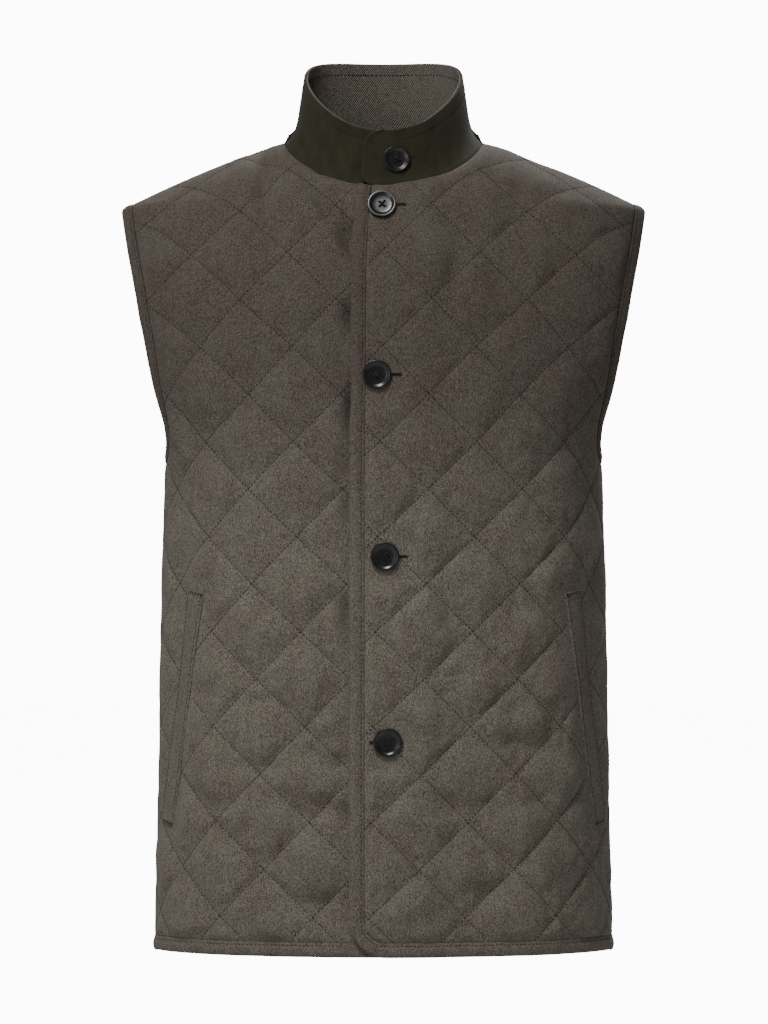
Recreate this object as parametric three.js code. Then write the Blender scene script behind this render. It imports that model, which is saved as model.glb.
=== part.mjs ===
// Quilted vest: a padded, sleeveless button front with a stand collar, hollow as it is worn.
// Millimetres. +X is the wearer's left, -Y is the front and +Z is up.
// The origin lies midway between the two points where the shoulder seams meet the collar.
//
// Each panel is drawn flat, as it is cut, and then wrapped round a body form. A place on a
// panel is given by two numbers: "along", the cloth's length from the centre line towards the
// side seam, and "height", its Z. A third number, "out", is the distance outwards from the form.

import * as THREE from 'three';

// Cloth and seams
const SEAM_GAP = 0.4;
const ARMHOLE_GAP = 0.6;
const WALL = 2.6;
const PUFF = 3.6;
const BAND = 11;
const ARMHOLE_BAND = 8;
const BAND_SECTION = [
  { across: 1, out: 0 },
  { across: 1, out: 2.8 },
  { across: 0.5, out: 4.2 },
  { across: 0.05, out: 3 },
  { across: 0, out: 0 },
];

// Quilting: diamonds with their corners on a lattice, two grid cells from corner to centre
const CELL_ALONG = 20;
const CELL_DOWN = 19.75;
const LATTICE_HEIGHT = -338.2;
const PUFF_FULLNESS = 0.6;
const PUFF_CHEST_LOSS = 0.4;
const PUFF_CHEST_TOP = -200;
const PUFF_CHEST_END = -430;
const PUFF_SHOULDER_LOSS = 0.7;
const DRIFT_START = -150;

// Heights and widths of the whole garment
const NECK_HALF_WIDTH = 84;
const NECK_HEIGHT = -3;
const SHOULDER_TIP = -63;
const UNDERARM = -268;
const HEM = -692.5;
const HEM_RISE = 5.5;
const HEM_RISE_WIDTH = 283;
const HEM_RISE_POWER = 4;

// Button front
const OVER_LAP = 28;
const UNDER_LAP = 22;
const LAP_LIFT = 4.2;
const LAP_FADE_START = 30;
const LAP_FADE_END = 60;
const LAP_SHIFT = 5.5;
const LAP_SHIFT_FADE = 50;
const COVER_FADE = 16;
const OVER_CORNER = 30;
const UNDER_CORNER = 14;

// The body form: level rings, from the neck down to the hem. Above the shoulder tip the half
// width is where the shoulder seam passes that height.
const FORM = [
  { height: 17, halfWidth: 76, front: 45, back: 60, squareness: 2 },
  { height: 11, halfWidth: 78.4, front: 50, back: 62, squareness: 2 },
  { height: -3, halfWidth: 84, front: 55, back: 68, squareness: 2 },
  { height: -12, halfWidth: 107.5, front: 62, back: 72, squareness: 2 },
  { height: -25.5, halfWidth: 141.5, front: 73, back: 79, squareness: 2 },
  { height: -39.5, halfWidth: 174.5, front: 81, back: 86, squareness: 2 },
  { height: -53, halfWidth: 203.5, front: 88, back: 91, squareness: 2 },
  { height: -63, halfWidth: 221.5, front: 92.5, back: 94.5, squareness: 2 },
  { height: -82, halfWidth: 225, front: 99, back: 100, squareness: 2.05 },
  { height: -110, halfWidth: 226, front: 108, back: 108, squareness: 2.12 },
  { height: -150, halfWidth: 223, front: 115, back: 115, squareness: 2.2 },
  { height: -190, halfWidth: 213, front: 118.5, back: 118.5, squareness: 2.27 },
  { height: -220, halfWidth: 201.5, front: 119.7, back: 120.3, squareness: 2.3 },
  { height: -248, halfWidth: 189, front: 120.6, back: 121, squareness: 2.3 },
  { height: -270, halfWidth: 183.6, front: 121, back: 121, squareness: 2.3 },
  { height: -350, halfWidth: 186, front: 121.6, back: 117, squareness: 2.3 },
  { height: -450, halfWidth: 188, front: 122.5, back: 118, squareness: 2.3 },
  { height: -550, halfWidth: 189.3, front: 124, back: 122, squareness: 2.3 },
  { height: -624, halfWidth: 191, front: 125.5, back: 124.8, squareness: 2.3 },
  { height: -692.5, halfWidth: 193, front: 127, back: 127, squareness: 2.3 },
];

// The armhole's edge, from the shoulder tip down to the underarm: how far round the body it
// lies, in degrees from the centre line. The back is cut less deep than the front.
const ARMHOLE = [
  { height: -63, front: 90, back: 90 },
  { height: -94, front: 73, back: 74.5 },
  { height: -128, front: 67.5, back: 69.5 },
  { height: -162, front: 65.5, back: 68 },
  { height: -196, front: 67, back: 69 },
  { height: -216, front: 69.3, back: 70.8 },
  { height: -234, front: 71.8, back: 72.8 },
  { height: -249, front: 75, back: 75.7 },
  { height: -260, front: 79.3, back: 79.7 },
  { height: -266, front: 84.2, back: 84.4 },
];

// Cloth is folded over the shoulder, so its length runs ahead of its height near the seam.
const SHOULDER_EXTRA = 40;
const CENTRE_EXTRA = 5;
const EXTRA_FADE = 22;
const EXTRA_FROM = { front: 40, back: 70 };
const EXTRA_TO = { front: 100, back: 130 };

// Above the first height columns of the quilting hang straight, below the second they wrap round.
// Below the widest ring, the hanging columns close up as the rings do.
const WIDEST_HEIGHT = -110;
const WRAP_START = -140;
const WRAP_END = -270;

// Buttons, from the collar down: how far to the wearer's left of the centre, and how high
const BUTTONS = [
  { name: 'button_1', across: -1.3, height: -64 },
  { name: 'button_2', across: -5.4, height: -204.5 },
  { name: 'button_3', across: 0.8, height: -355 },
  { name: 'button_4', across: 2.9, height: -509 },
];
const COLLAR_BUTTON = {
  name: 'button_collar',
  across: 12,
  share: 0.44,
  turnStep: 0.1,
  shareStep: 0.2,
};
const BUTTON_RADIUS = 12;
const COLLAR_BUTTON_RADIUS = 11.2;
const BUTTON_THICKNESS = 3.6;
const BUTTON_FLAT = 20;
const BUTTON_FLAT_FADE = 34;
const BUTTON_SEAT = 0.85;
const BUTTON_SIDES = 16;

// The button's section, from the middle of its back out and over the rim, as shares of its
// radius and its thickness
const BUTTON_PROFILE = [
  [0, 0],
  [0.8, 0],
  [1, 0.45],
  [0.93, 1],
  [0.76, 0.9],
  [0.6, 0.6],
  [0, 0.55],
];

// Pocket welts: the front edge of each opening, from its top to its bottom
const WELT = {
  top: { along: 156, height: -386 },
  bottom: { along: 196, height: -583 },
  width: 21,
  thickness: 2,
  out: 4.2,
  steps: 11,
  flatness: 0.3,
  fade: 24,
  endDrop: -3.5,
  crown: 0.5,
  shares: [0, 0.33, 0.67, 1],
};

// Main folds: soft troughs (negative depth) and ridges, each a long narrow swelling
const FOLDS = {
  front_left: [
    { along: 112, height: -78, length: 60, width: 16, lean: 0.25, depth: -2.5 },
    { along: 150, height: -330, length: 120, width: 26, lean: -0.05, depth: 2.5 },
    { along: 196, height: -420, length: 110, width: 17, lean: 0.04, depth: -4 },
    { along: 85, height: -600, length: 85, width: 22, lean: 0.2, depth: -2.5 },
    { along: 128, height: -640, length: 75, width: 20, lean: -0.1, depth: 2.5 },
  ],
  front_right: [
    { along: 100, height: -70, length: 65, width: 14, lean: 0.2, depth: -3 },
    { along: 58, height: -95, length: 50, width: 14, lean: 0.3, depth: -2 },
    { along: 66, height: -500, length: 60, width: 24, lean: 0.5, depth: -2.5 },
    { along: 90, height: -625, length: 75, width: 22, lean: -0.2, depth: -3 },
    { along: 190, height: -450, length: 120, width: 17, lean: -0.04, depth: -4 },
    { along: 140, height: -560, length: 90, width: 24, lean: 0.1, depth: 2.5 },
  ],
  back: [
    { along: -150, height: -120, length: 80, width: 24, lean: -0.5, depth: -3 },
    { along: 142, height: -135, length: 70, width: 22, lean: 0.45, depth: -2.5 },
    { along: -88, height: -400, length: 120, width: 28, lean: 0.1, depth: -4 },
    { along: 105, height: -430, length: 100, width: 24, lean: -0.12, depth: -3.5 },
    { along: 14, height: -360, length: 90, width: 30, lean: 0.05, depth: -2 },
    { along: -170, height: -590, length: 80, width: 24, lean: -0.1, depth: 3 },
    { along: 180, height: -600, length: 70, width: 22, lean: 0.1, depth: 2.5 },
  ],
  binding: [],
};

// Stand collar: a base curve on the neck, and a rim that is higher behind than in front
const COLLAR = {
  baseMiddle: -15.4,
  baseTilt: 30.3,
  baseSideLift: 12.4,
  rimHalfWidth: 67.9,
  rimFront: -75,
  rimBack: 58,
  rimMiddle: 36,
  rimTilt: 34,
  rimSideLift: 18,
  overEnd: 19,
  underEnd: 17,
  upperCorner: 13,
  lowerCorner: 7,
  shell: 1.8,
  facing: 1.2,
  height: 45,
  columns: 34,
  shares: [0, 0.08, 0.24, 0.6, 0.86, 1],
};
const NECK_FRONT = COLLAR.baseMiddle - COLLAR.baseTilt;
const COLLAR_FLARE_SHARE = 0.45;
const COLLAR_FLARE_POWER = 8;
const COLLAR_SEAT = 0.1;
const COLLAR_SEAT_SLANT = 0.6;

const ARC_STEPS = 48;
const SEAM_STEP = 18;
const ARMHOLE_STEPS = 22;
const ARMHOLE_CROWDING = 1.5;
const MIN_ROW_END = 0.12;
const MIN_SIDE = 0.25;
const EDGE_STEPS = 18;
const CORNER_STEPS = 5;
const NECK_STEPS = 14;
const NECK_START = 3;
const HEIGHT_SEARCH = 25;
const FOLDED_COST = 1000;

function smoothStep(from, to, value) {
  const share = THREE.MathUtils.clamp((value - from) / (to - from), 0, 1);
  return share * share * (3 - 2 * share);
}

// A slope that never overshoots its two neighbours
function gentleSlope(before, after) {
  return before * after > 0 ? (2 * before * after) / (before + after) : 0;
}

// One column of the form's table at any height, along a smooth curve through its rows
function formValue(column, height) {
  const last = FORM.length - 1;
  let row = 0;
  while (row < last - 1 && height < FORM[row + 1].height) row += 1;
  const slopeAfter = (index) => {
    const upper = FORM[THREE.MathUtils.clamp(index, 0, last - 1)];
    const lower = FORM[THREE.MathUtils.clamp(index, 0, last - 1) + 1];
    return (upper[column] - lower[column]) / (upper.height - lower.height);
  };
  const upper = FORM[row];
  const lower = FORM[row + 1];
  const span = upper.height - lower.height;
  const share = THREE.MathUtils.clamp((height - lower.height) / span, 0, 1);
  const lowSlope = gentleSlope(slopeAfter(row + 1), slopeAfter(row)) * span;
  const highSlope = gentleSlope(slopeAfter(row), slopeAfter(row - 1)) * span;
  const square = share * share;
  const cube = square * share;
  return (
    (2 * cube - 3 * square + 1) * lower[column] +
    (cube - 2 * square + share) * lowSlope +
    (3 * square - 2 * cube) * upper[column] +
    (cube - square) * highSlope
  );
}

// Height of the shoulder seam above a place on the panel
function shoulderHeight(along) {
  const wanted = Math.abs(along);
  if (wanted <= NECK_HALF_WIDTH) return NECK_HEIGHT;
  let low = SHOULDER_TIP;
  let high = NECK_HEIGHT;
  for (let step = 0; step < 30; step += 1) {
    const middle = (low + high) / 2;
    if (formValue('halfWidth', middle) > wanted) low = middle;
    else high = middle;
  }
  return (low + high) / 2;
}

function ringPlace(face, angle, height) {
  const power = 2 / formValue('squareness', height);
  return {
    x: formValue('halfWidth', height) * Math.sin(angle) ** power,
    y: formValue(face, height) * Math.max(0, Math.cos(angle)) ** power,
  };
}

// Lengths round a quarter ring, from the centre line to the side
function ringLengths(face, height) {
  const lengths = [0];
  let before = ringPlace(face, 0, height);
  for (let step = 1; step <= ARC_STEPS; step += 1) {
    const place = ringPlace(face, ((Math.PI / 2) * step) / ARC_STEPS, height);
    lengths.push(lengths[step - 1] + Math.hypot(place.x - before.x, place.y - before.y));
    before = place;
  }
  return lengths;
}

function sideLength(face, height) {
  return ringLengths(face, height)[ARC_STEPS];
}

// Angle round the ring of a place on the panel: hanging straight above, wrapped round below
function ringAngle(face, along, height) {
  const squareness = formValue('squareness', height);
  const widest = formValue('halfWidth', Math.max(height, WIDEST_HEIGHT));
  const reach = Math.min(1, along / widest);
  const hanging = Math.asin(reach ** (squareness / 2));
  const wrap = smoothStep(WRAP_START, WRAP_END, height);
  if (wrap === 0) return hanging;
  const lengths = ringLengths(face, height);
  let step = 1;
  while (step < ARC_STEPS && lengths[step] < along) step += 1;
  const part = Math.min(1, (along - lengths[step - 1]) / (lengths[step] - lengths[step - 1]));
  const wrapped = ((Math.PI / 2) * (step - 1 + part)) / ARC_STEPS;
  return hanging + (wrapped - hanging) * wrap;
}

// The place along a panel that lies at an angle round the ring
function alongAt(face, angle, height) {
  let low = 0;
  let high = sideLength(face, height);
  for (let step = 0; step < 40; step += 1) {
    const middle = (low + high) / 2;
    if (ringAngle(face, middle, height) < angle) low = middle;
    else high = middle;
  }
  return (low + high) / 2;
}

// A place on the form, moved outwards. The seams at the side keep half a gap from the middle.
function formPoint(face, along, height, out, halfGap = SEAM_GAP / 2) {
  const towards = face === 'front' ? -1 : 1;
  const squareness = formValue('squareness', height);
  const width = formValue('halfWidth', height);
  const depth = formValue(face, height);
  const place = ringPlace(face, ringAngle(face, Math.abs(along), height), height);
  const step = 1;
  const widthSlope =
    (formValue('halfWidth', height + step) - formValue('halfWidth', height - step)) / (2 * step);
  const depthSlope = (formValue(face, height + step) - formValue(face, height - step)) / (2 * step);
  const shareX = Math.min(1, place.x / width);
  const shareY = Math.min(1, place.y / depth);
  const normal = new THREE.Vector3(
    (Math.sign(along) * shareX ** (squareness - 1)) / width,
    (towards * shareY ** (squareness - 1)) / depth,
    -((shareX ** squareness * widthSlope) / width + (shareY ** squareness * depthSlope) / depth),
  ).normalize();
  const x = place.x * (along < 0 ? -1 : 1);
  const y = towards * Math.max(halfGap, place.y);
  return new THREE.Vector3(x, y, height).addScaledVector(normal, out);
}

// Height on the garment and length down the cloth, each from the other
function extraCloth(face, along, height) {
  const share = smoothStep(EXTRA_FROM[face], EXTRA_TO[face], Math.abs(along));
  const extra = CENTRE_EXTRA + SHOULDER_EXTRA * share;
  return extra * Math.exp((height - shoulderHeight(along)) / EXTRA_FADE);
}

function clothHeight(face, along, height) {
  return height + extraCloth(face, along, height);
}

function garmentHeight(face, along, cloth) {
  let height = Math.min(cloth, shoulderHeight(along) + HEIGHT_SEARCH);
  for (let step = 0; step < 25; step += 1) {
    const extra = extraCloth(face, along, height);
    height -= (height + extra - cloth) / (1 + extra / EXTRA_FADE);
  }
  return height;
}

// Edges of the pieces, as places on a panel, each at a given inset from the cut edge

function neckHeight(along) {
  const sine = Math.min(1, Math.abs(along) / NECK_HALF_WIDTH);
  const cosine = Math.sqrt(1 - sine * sine);
  return COLLAR.baseMiddle - COLLAR.baseTilt * cosine + COLLAR.baseSideLift * sine * sine;
}

function backNeckHeight(along) {
  const sine = Math.min(1, Math.abs(along) / NECK_HALF_WIDTH);
  const cosine = Math.sqrt(1 - sine * sine);
  return COLLAR.baseMiddle + COLLAR.baseTilt * cosine + COLLAR.baseSideLift * sine * sine;
}

function hemHeight(along) {
  return HEM + HEM_RISE * Math.max(0, 1 - Math.abs(along / HEM_RISE_WIDTH) ** HEM_RISE_POWER);
}

function armholeEdge(face, inset) {
  const underarm = new THREE.Vector2(sideLength(face, UNDERARM), UNDERARM);
  const drawn = ARMHOLE.map((row) => {
    const angle = THREE.MathUtils.degToRad(row[face]);
    return new THREE.Vector2(alongAt(face, angle, row.height), row.height);
  });
  drawn[0].x = formValue('halfWidth', SHOULDER_TIP);
  const curve = new THREE.SplineCurve([...drawn, underarm]);
  const places = [];
  for (let step = 0; step <= ARMHOLE_STEPS; step += 1) {
    places.push(curve.getPointAt((step / ARMHOLE_STEPS) ** ARMHOLE_CROWDING));
  }
  const edge = places.map((place, index) => {
    const before = places[Math.max(index - 1, 0)];
    const after = places[Math.min(index + 1, places.length - 1)];
    const way = after.clone().sub(before).normalize();
    const along = place.x + way.y * inset;
    const nearShoulder = Math.exp((place.y - shoulderHeight(place.x)) / EXTRA_FADE);
    const straight = -way.x * inset;
    const sloped = shoulderHeight(along) - shoulderHeight(place.x);
    return { along, height: place.y + straight + (sloped - straight) * nearShoulder };
  });
  const tip = edge[0];
  tip.height = shoulderHeight(tip.along);
  const low = UNDERARM - inset;
  edge[edge.length - 1] = { along: sideLength(face, low), height: low };
  return edge;
}

// The button edge bears a little towards the centre line below the neck.
function lapEdge(lap, height) {
  return -lap + LAP_SHIFT * Math.exp((height - NECK_FRONT) / LAP_SHIFT_FADE);
}

// Down the button edge from the neck, round the corner and along the hem to the side seam
function frontEdge(lap, corner, inset) {
  const edge = [];
  const top = neckHeight(lapEdge(lap, NECK_FRONT) + inset);
  const centreHeight = hemHeight(corner - lap) + corner;
  for (let step = 0; step < EDGE_STEPS; step += 1) {
    const height = top + ((centreHeight - top) * step) / EDGE_STEPS;
    edge.push({ along: lapEdge(lap, height) + inset, height });
  }
  for (let step = 0; step <= CORNER_STEPS; step += 1) {
    const turn = ((Math.PI / 2) * step) / CORNER_STEPS;
    edge.push({
      along: corner - lap - (corner - inset) * Math.cos(turn),
      height: centreHeight - (corner - inset) * Math.sin(turn),
    });
  }
  return [...edge, ...hemEdge('front', corner - lap, inset).slice(1)];
}

function hemEdge(face, start, inset) {
  const edge = [];
  const end = sideLength(face, HEM + inset);
  const steps = Math.round((end - start) / SEAM_STEP);
  for (let step = 0; step <= steps; step += 1) {
    const along = start + ((end - start) * step) / steps;
    edge.push({ along, height: (face === 'front' ? hemHeight(along) : HEM) + inset });
  }
  return edge;
}

function seamUp(face, bottom, top) {
  const edge = [];
  const steps = Math.round((top - bottom) / SEAM_STEP);
  for (let step = 1; step < steps; step += 1) {
    const height = bottom + ((top - bottom) * step) / steps;
    edge.push({ along: sideLength(face, height), height });
  }
  return edge;
}

function shoulderSeam(start) {
  const edge = [];
  const steps = Math.round((start - NECK_HALF_WIDTH) / SEAM_STEP);
  for (let step = 1; step < steps; step += 1) {
    const along = start + ((NECK_HALF_WIDTH - start) * step) / steps;
    edge.push({ along, height: shoulderHeight(along) });
  }
  return edge;
}

// The neck edge is taken at the collar's own steps, so that the two seams run side by side.
function neckEdge(heightAt) {
  const edge = [];
  for (let step = 0; step <= NECK_STEPS; step += 1) {
    const along = NECK_HALF_WIDTH * Math.cos(((Math.PI / 2) * step) / NECK_STEPS);
    if (along > NECK_START) edge.push({ along, height: heightAt(along) });
  }
  return edge;
}

function frontOutline(lap, corner) {
  const inset = BAND + SEAM_GAP;
  const armhole = armholeEdge('front', ARMHOLE_BAND + ARMHOLE_GAP).reverse();
  const start = frontEdge(lap, corner, inset);
  const crossed = start[0].along / 2;
  return [
    ...start,
    ...seamUp('front', HEM + inset, armhole[0].height),
    ...armhole,
    ...shoulderSeam(armhole[armhole.length - 1].along),
    ...neckEdge(neckHeight),
    { along: crossed, height: neckHeight(crossed) },
  ];
}

function backOutline() {
  const inset = BAND + SEAM_GAP;
  const armhole = armholeEdge('back', ARMHOLE_BAND + ARMHOLE_GAP).reverse();
  const half = [
    ...hemEdge('back', 0, inset),
    ...seamUp('back', HEM + inset, armhole[0].height),
    ...armhole,
    ...shoulderSeam(armhole[armhole.length - 1].along),
    ...neckEdge(backNeckHeight),
  ];
  const centre = { along: 0, height: backNeckHeight(0) };
  const mirrored = half.slice(1).reverse().map((place) => ({ ...place, along: -place.along }));
  return [...half, centre, ...mirrored];
}

// Quilting

function quiltGrid(panel, along, cloth) {
  const drift = panel.drift * Math.max(0, DRIFT_START - cloth);
  return new THREE.Vector2((along + drift) / CELL_ALONG, (cloth - LATTICE_HEIGHT) / CELL_DOWN);
}

function quiltPlace(panel, grid) {
  const cloth = LATTICE_HEIGHT + grid.y * CELL_DOWN;
  const drift = panel.drift * Math.max(0, DRIFT_START - cloth);
  const along = grid.x * CELL_ALONG - drift;
  return { along, height: garmentHeight(panel.face, along, cloth) };
}

function weltDistance(place) {
  const line = { x: WELT.bottom.along - WELT.top.along, y: WELT.bottom.height - WELT.top.height };
  const length = Math.hypot(line.x, line.y);
  const fromTop = { x: place.along - WELT.top.along, y: place.height - WELT.top.height };
  const down = (fromTop.x * line.x + fromTop.y * line.y) / length;
  const across = (fromTop.y * line.x - fromTop.x * line.y) / length;
  const pastEnd = Math.max(0, -down, down - length);
  const pastSide = Math.max(0, -across, across - WELT.width);
  return Math.hypot(pastEnd, pastSide);
}

function quiltHeight(panel, grid, place) {
  const rising = Math.sin(Math.PI * ((grid.x + grid.y) / 4));
  const falling = Math.sin(Math.PI * ((grid.x - grid.y) / 4));
  let height = PUFF * Math.abs(rising * falling) ** PUFF_FULLNESS;
  height *= 1 - PUFF_CHEST_LOSS * smoothStep(PUFF_CHEST_END, PUFF_CHEST_TOP, place.height);
  const shoulder = shoulderHeight(place.along);
  height *= 1 - PUFF_SHOULDER_LOSS * Math.exp((place.height - shoulder) / EXTRA_FADE);
  if (panel.welt) {
    const clear = smoothStep(0, WELT.fade, weltDistance(place));
    height *= WELT.flatness + (1 - WELT.flatness) * clear;
  }
  for (const button of panel.buttons) {
    const distance = Math.hypot(place.along - button.across, place.height - button.height);
    height *= smoothStep(BUTTON_FLAT, BUTTON_FLAT_FADE, distance);
  }
  if (panel.coveredTo !== null) {
    height *= smoothStep(panel.coveredTo, panel.coveredTo + COVER_FADE, place.along);
  }
  return height;
}

function foldDepth(panel, place) {
  let depth = 0;
  for (const fold of FOLDS[panel.name]) {
    const down = (place.height - fold.height) / fold.length;
    const across = (place.along - fold.along - fold.lean * (place.height - fold.height)) / fold.width;
    depth += fold.depth * Math.exp(-down * down - across * across);
  }
  return depth;
}

function lapLift(panel, along) {
  return panel.lifted ? LAP_LIFT * (1 - smoothStep(LAP_FADE_START, LAP_FADE_END, along)) : 0;
}

function panelPoint(panel, place, out) {
  const base = lapLift(panel, place.along) + foldDepth(panel, place);
  const point = formPoint(panel.face, place.along, place.height, base + out, panel.halfGap);
  point.x *= panel.mirror;
  return point;
}

// Divides a flat outline into quilting cells: whole cells inside, cut cells along the edge.
// Rows run level, and each row's ends are points of the outline. Where the neck edge is nearly
// level, a row can cross the outline more than twice: the last two crossings are its ends.
function divideOutline(outline) {
  const points = [];
  const rowEnds = new Map();
  const addRowEnd = (row, index) => {
    if (!rowEnds.has(row)) rowEnds.set(row, []);
    rowEnds.get(row).push(index);
  };
  outline.forEach((start, index) => {
    const end = outline[(index + 1) % outline.length];
    const startIndex = points.push(start) - 1;
    const rising = end.y > start.y;
    const rows = [];
    for (let row = Math.ceil(Math.min(start.y, end.y)); row <= Math.max(start.y, end.y); row += 1) {
      rows.push(row);
    }
    if (!rising) rows.reverse();
    for (const row of rows) {
      const share = (row - start.y) / (end.y - start.y);
      const crossing = start.clone().lerp(end, share);
      if (crossing.distanceTo(start) < MIN_ROW_END) addRowEnd(row, startIndex);
      else if (crossing.distanceTo(end) < MIN_ROW_END) {
        addRowEnd(row, index + 1 === outline.length ? 0 : points.length);
      } else addRowEnd(row, points.push(crossing) - 1);
    }
  });
  const edgeCount = points.length;
  const rows = [...rowEnds.keys()].sort((one, other) => one - other);
  const lines = [];
  for (const row of rows) {
    const ends = [...new Set(rowEnds.get(row))].sort((one, other) => points[one].x - points[other].x);
    if (ends.length < 2) continue;
    const [left, right] = ends.slice(-2);
    const columns = new Map();
    for (let x = Math.ceil(points[left].x + MIN_SIDE); x <= points[right].x - MIN_SIDE; x += 1) {
      columns.set(x, points.push(new THREE.Vector2(x, row)) - 1);
    }
    lines.push({ row, left, right, columns });
  }
  return { points, edgeCount, lines };
}

function edgeRun(from, to, edgeCount) {
  const run = [from];
  for (let index = from; index !== to; ) {
    index = (index + 1) % edgeCount;
    run.push(index);
  }
  return run;
}

// Fills the strip between a lower and an upper chain of points that both run to the right.
// Each step takes the shorter new edge, unless its triangle would be turned over.
function fillBetween(lower, upper, points, triangles) {
  let low = 0;
  let high = 0;
  const turn = (a, b, c) => THREE.ShapeUtils.area([points[a], points[b], points[c]]);
  const cost = (triangle, from, to) => {
    const folded = turn(...triangle) < 0 ? FOLDED_COST : 0;
    return folded + points[from].distanceTo(points[to]);
  };
  while (low + 1 < lower.length || high + 1 < upper.length) {
    const lowStep = [lower[low], lower[low + 1], upper[high]];
    const highStep = [lower[low], upper[high + 1], upper[high]];
    let takeLow = high + 1 === upper.length;
    if (low + 1 < lower.length && high + 1 < upper.length) {
      const lowCost = cost(lowStep, lower[low + 1], upper[high]);
      takeLow = lowCost <= cost(highStep, lower[low], upper[high + 1]);
    }
    const triangle = takeLow ? lowStep : highStep;
    if (new Set(triangle).size === 3) triangles.push(triangle);
    if (takeLow) low += 1;
    else high += 1;
  }
}

function tilePanel(outline) {
  const { points, edgeCount, lines } = divideOutline(outline);
  const triangles = [];
  const wholeLine = (line) => [line.left, ...line.columns.values(), line.right];
  const columnsWhere = (line, test) =>
    [...line.columns].filter(([column]) => test(column)).map((pair) => pair[1]);
  const bottom = lines[0];
  fillBetween(edgeRun(bottom.left, bottom.right, edgeCount), wholeLine(bottom), points, triangles);
  for (let index = 0; index + 1 < lines.length; index += 1) {
    const low = lines[index];
    const high = lines[index + 1];
    const shared = [...low.columns.keys()].filter((column) => high.columns.has(column));
    const leftRun = edgeRun(high.left, low.left, edgeCount).reverse();
    const rightRun = edgeRun(low.right, high.right, edgeCount).reverse();
    if (shared.length === 0) {
      const upper = [...leftRun, ...high.columns.values(), ...rightRun];
      fillBetween(wholeLine(low), upper, points, triangles);
      continue;
    }
    const first = shared[0];
    const last = shared[shared.length - 1];
    const before = (line) => columnsWhere(line, (column) => column <= first);
    const beyond = (line) => columnsWhere(line, (column) => column >= last);
    fillBetween([low.left, ...before(low)], [...leftRun, ...before(high)], points, triangles);
    for (const column of shared.slice(0, -1)) {
      const a = low.columns.get(column);
      const b = low.columns.get(column + 1);
      const c = high.columns.get(column + 1);
      const d = high.columns.get(column);
      if (Math.abs(column - low.row) % 2 === 0) triangles.push([a, b, c], [a, c, d]);
      else triangles.push([a, b, d], [b, c, d]);
    }
    fillBetween([...beyond(low), low.right], [...beyond(high), ...rightRun], points, triangles);
  }
  const top = lines[lines.length - 1];
  const over = edgeRun(top.right, top.left, edgeCount).reverse();
  fillBetween(wholeLine(top), over, points, triangles);
  return { points, edgeCount, triangles };
}

// Solids

function makeSolid(name, corners, triangles, material) {
  const open = new Map();
  let volume = 0;
  for (const triangle of triangles) {
    const [a, b, c] = triangle.map((index) => corners[index]);
    volume += a.dot(b.clone().cross(c));
    triangle.forEach((from, side) => {
      const to = triangle[(side + 1) % 3];
      const back = `${to}/${from}`;
      if (open.has(back)) open.delete(back);
      else open.set(`${from}/${to}`, true);
    });
  }
  if (open.size > 0) throw new Error(`${name} has ${open.size} open edges`);
  const faces = volume > 0 ? triangles : triangles.map(([a, b, c]) => [a, c, b]);
  const geometry = new THREE.BufferGeometry().setFromPoints(corners);
  geometry.setIndex(faces.flat());
  geometry.computeVertexNormals();
  const mesh = new THREE.Mesh(geometry, material);
  mesh.name = name;
  return mesh;
}

function quiltedPanel(panel, outline, material) {
  const flat = outline.map((place) =>
    quiltGrid(panel, place.along, clothHeight(panel.face, place.along, place.height)),
  );
  const { points, edgeCount, triangles } = tilePanel(flat);
  const places = points.map((grid) => quiltPlace(panel, grid));
  const outer = places.map((place, index) => {
    const raised = index < edgeCount ? 0 : quiltHeight(panel, points[index], place);
    return panelPoint(panel, place, WALL + raised);
  });
  const inner = places.map((place) => panelPoint(panel, place, 0));
  const count = points.length;
  const faces = [...triangles];
  for (const [a, b, c] of triangles) faces.push([a + count, c + count, b + count]);
  for (let index = 0; index < edgeCount; index += 1) {
    const next = (index + 1) % edgeCount;
    faces.push([next, index, index + count], [next, index + count, next + count]);
  }
  return makeSolid(panel.name, [...outer, ...inner], faces, material);
}

// A strip with the same section all along, closed into a loop or capped at its ends
function strip(name, sections, looped, material) {
  const size = sections[0].length;
  const corners = sections.flat();
  const faces = [];
  const spans = looped ? sections.length : sections.length - 1;
  for (let span = 0; span < spans; span += 1) {
    const next = (span + 1) % sections.length;
    for (let side = 0; side < size; side += 1) {
      const other = (side + 1) % size;
      const a = span * size + side;
      const b = span * size + other;
      const c = next * size + other;
      const d = next * size + side;
      faces.push([a, b, c], [a, c, d]);
    }
  }
  if (!looped) {
    const last = (sections.length - 1) * size;
    for (let side = 1; side + 1 < size; side += 1) {
      faces.push([0, side + 1, side], [last, last + side, last + side + 1]);
    }
  }
  return makeSolid(name, corners, faces, material);
}

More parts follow.
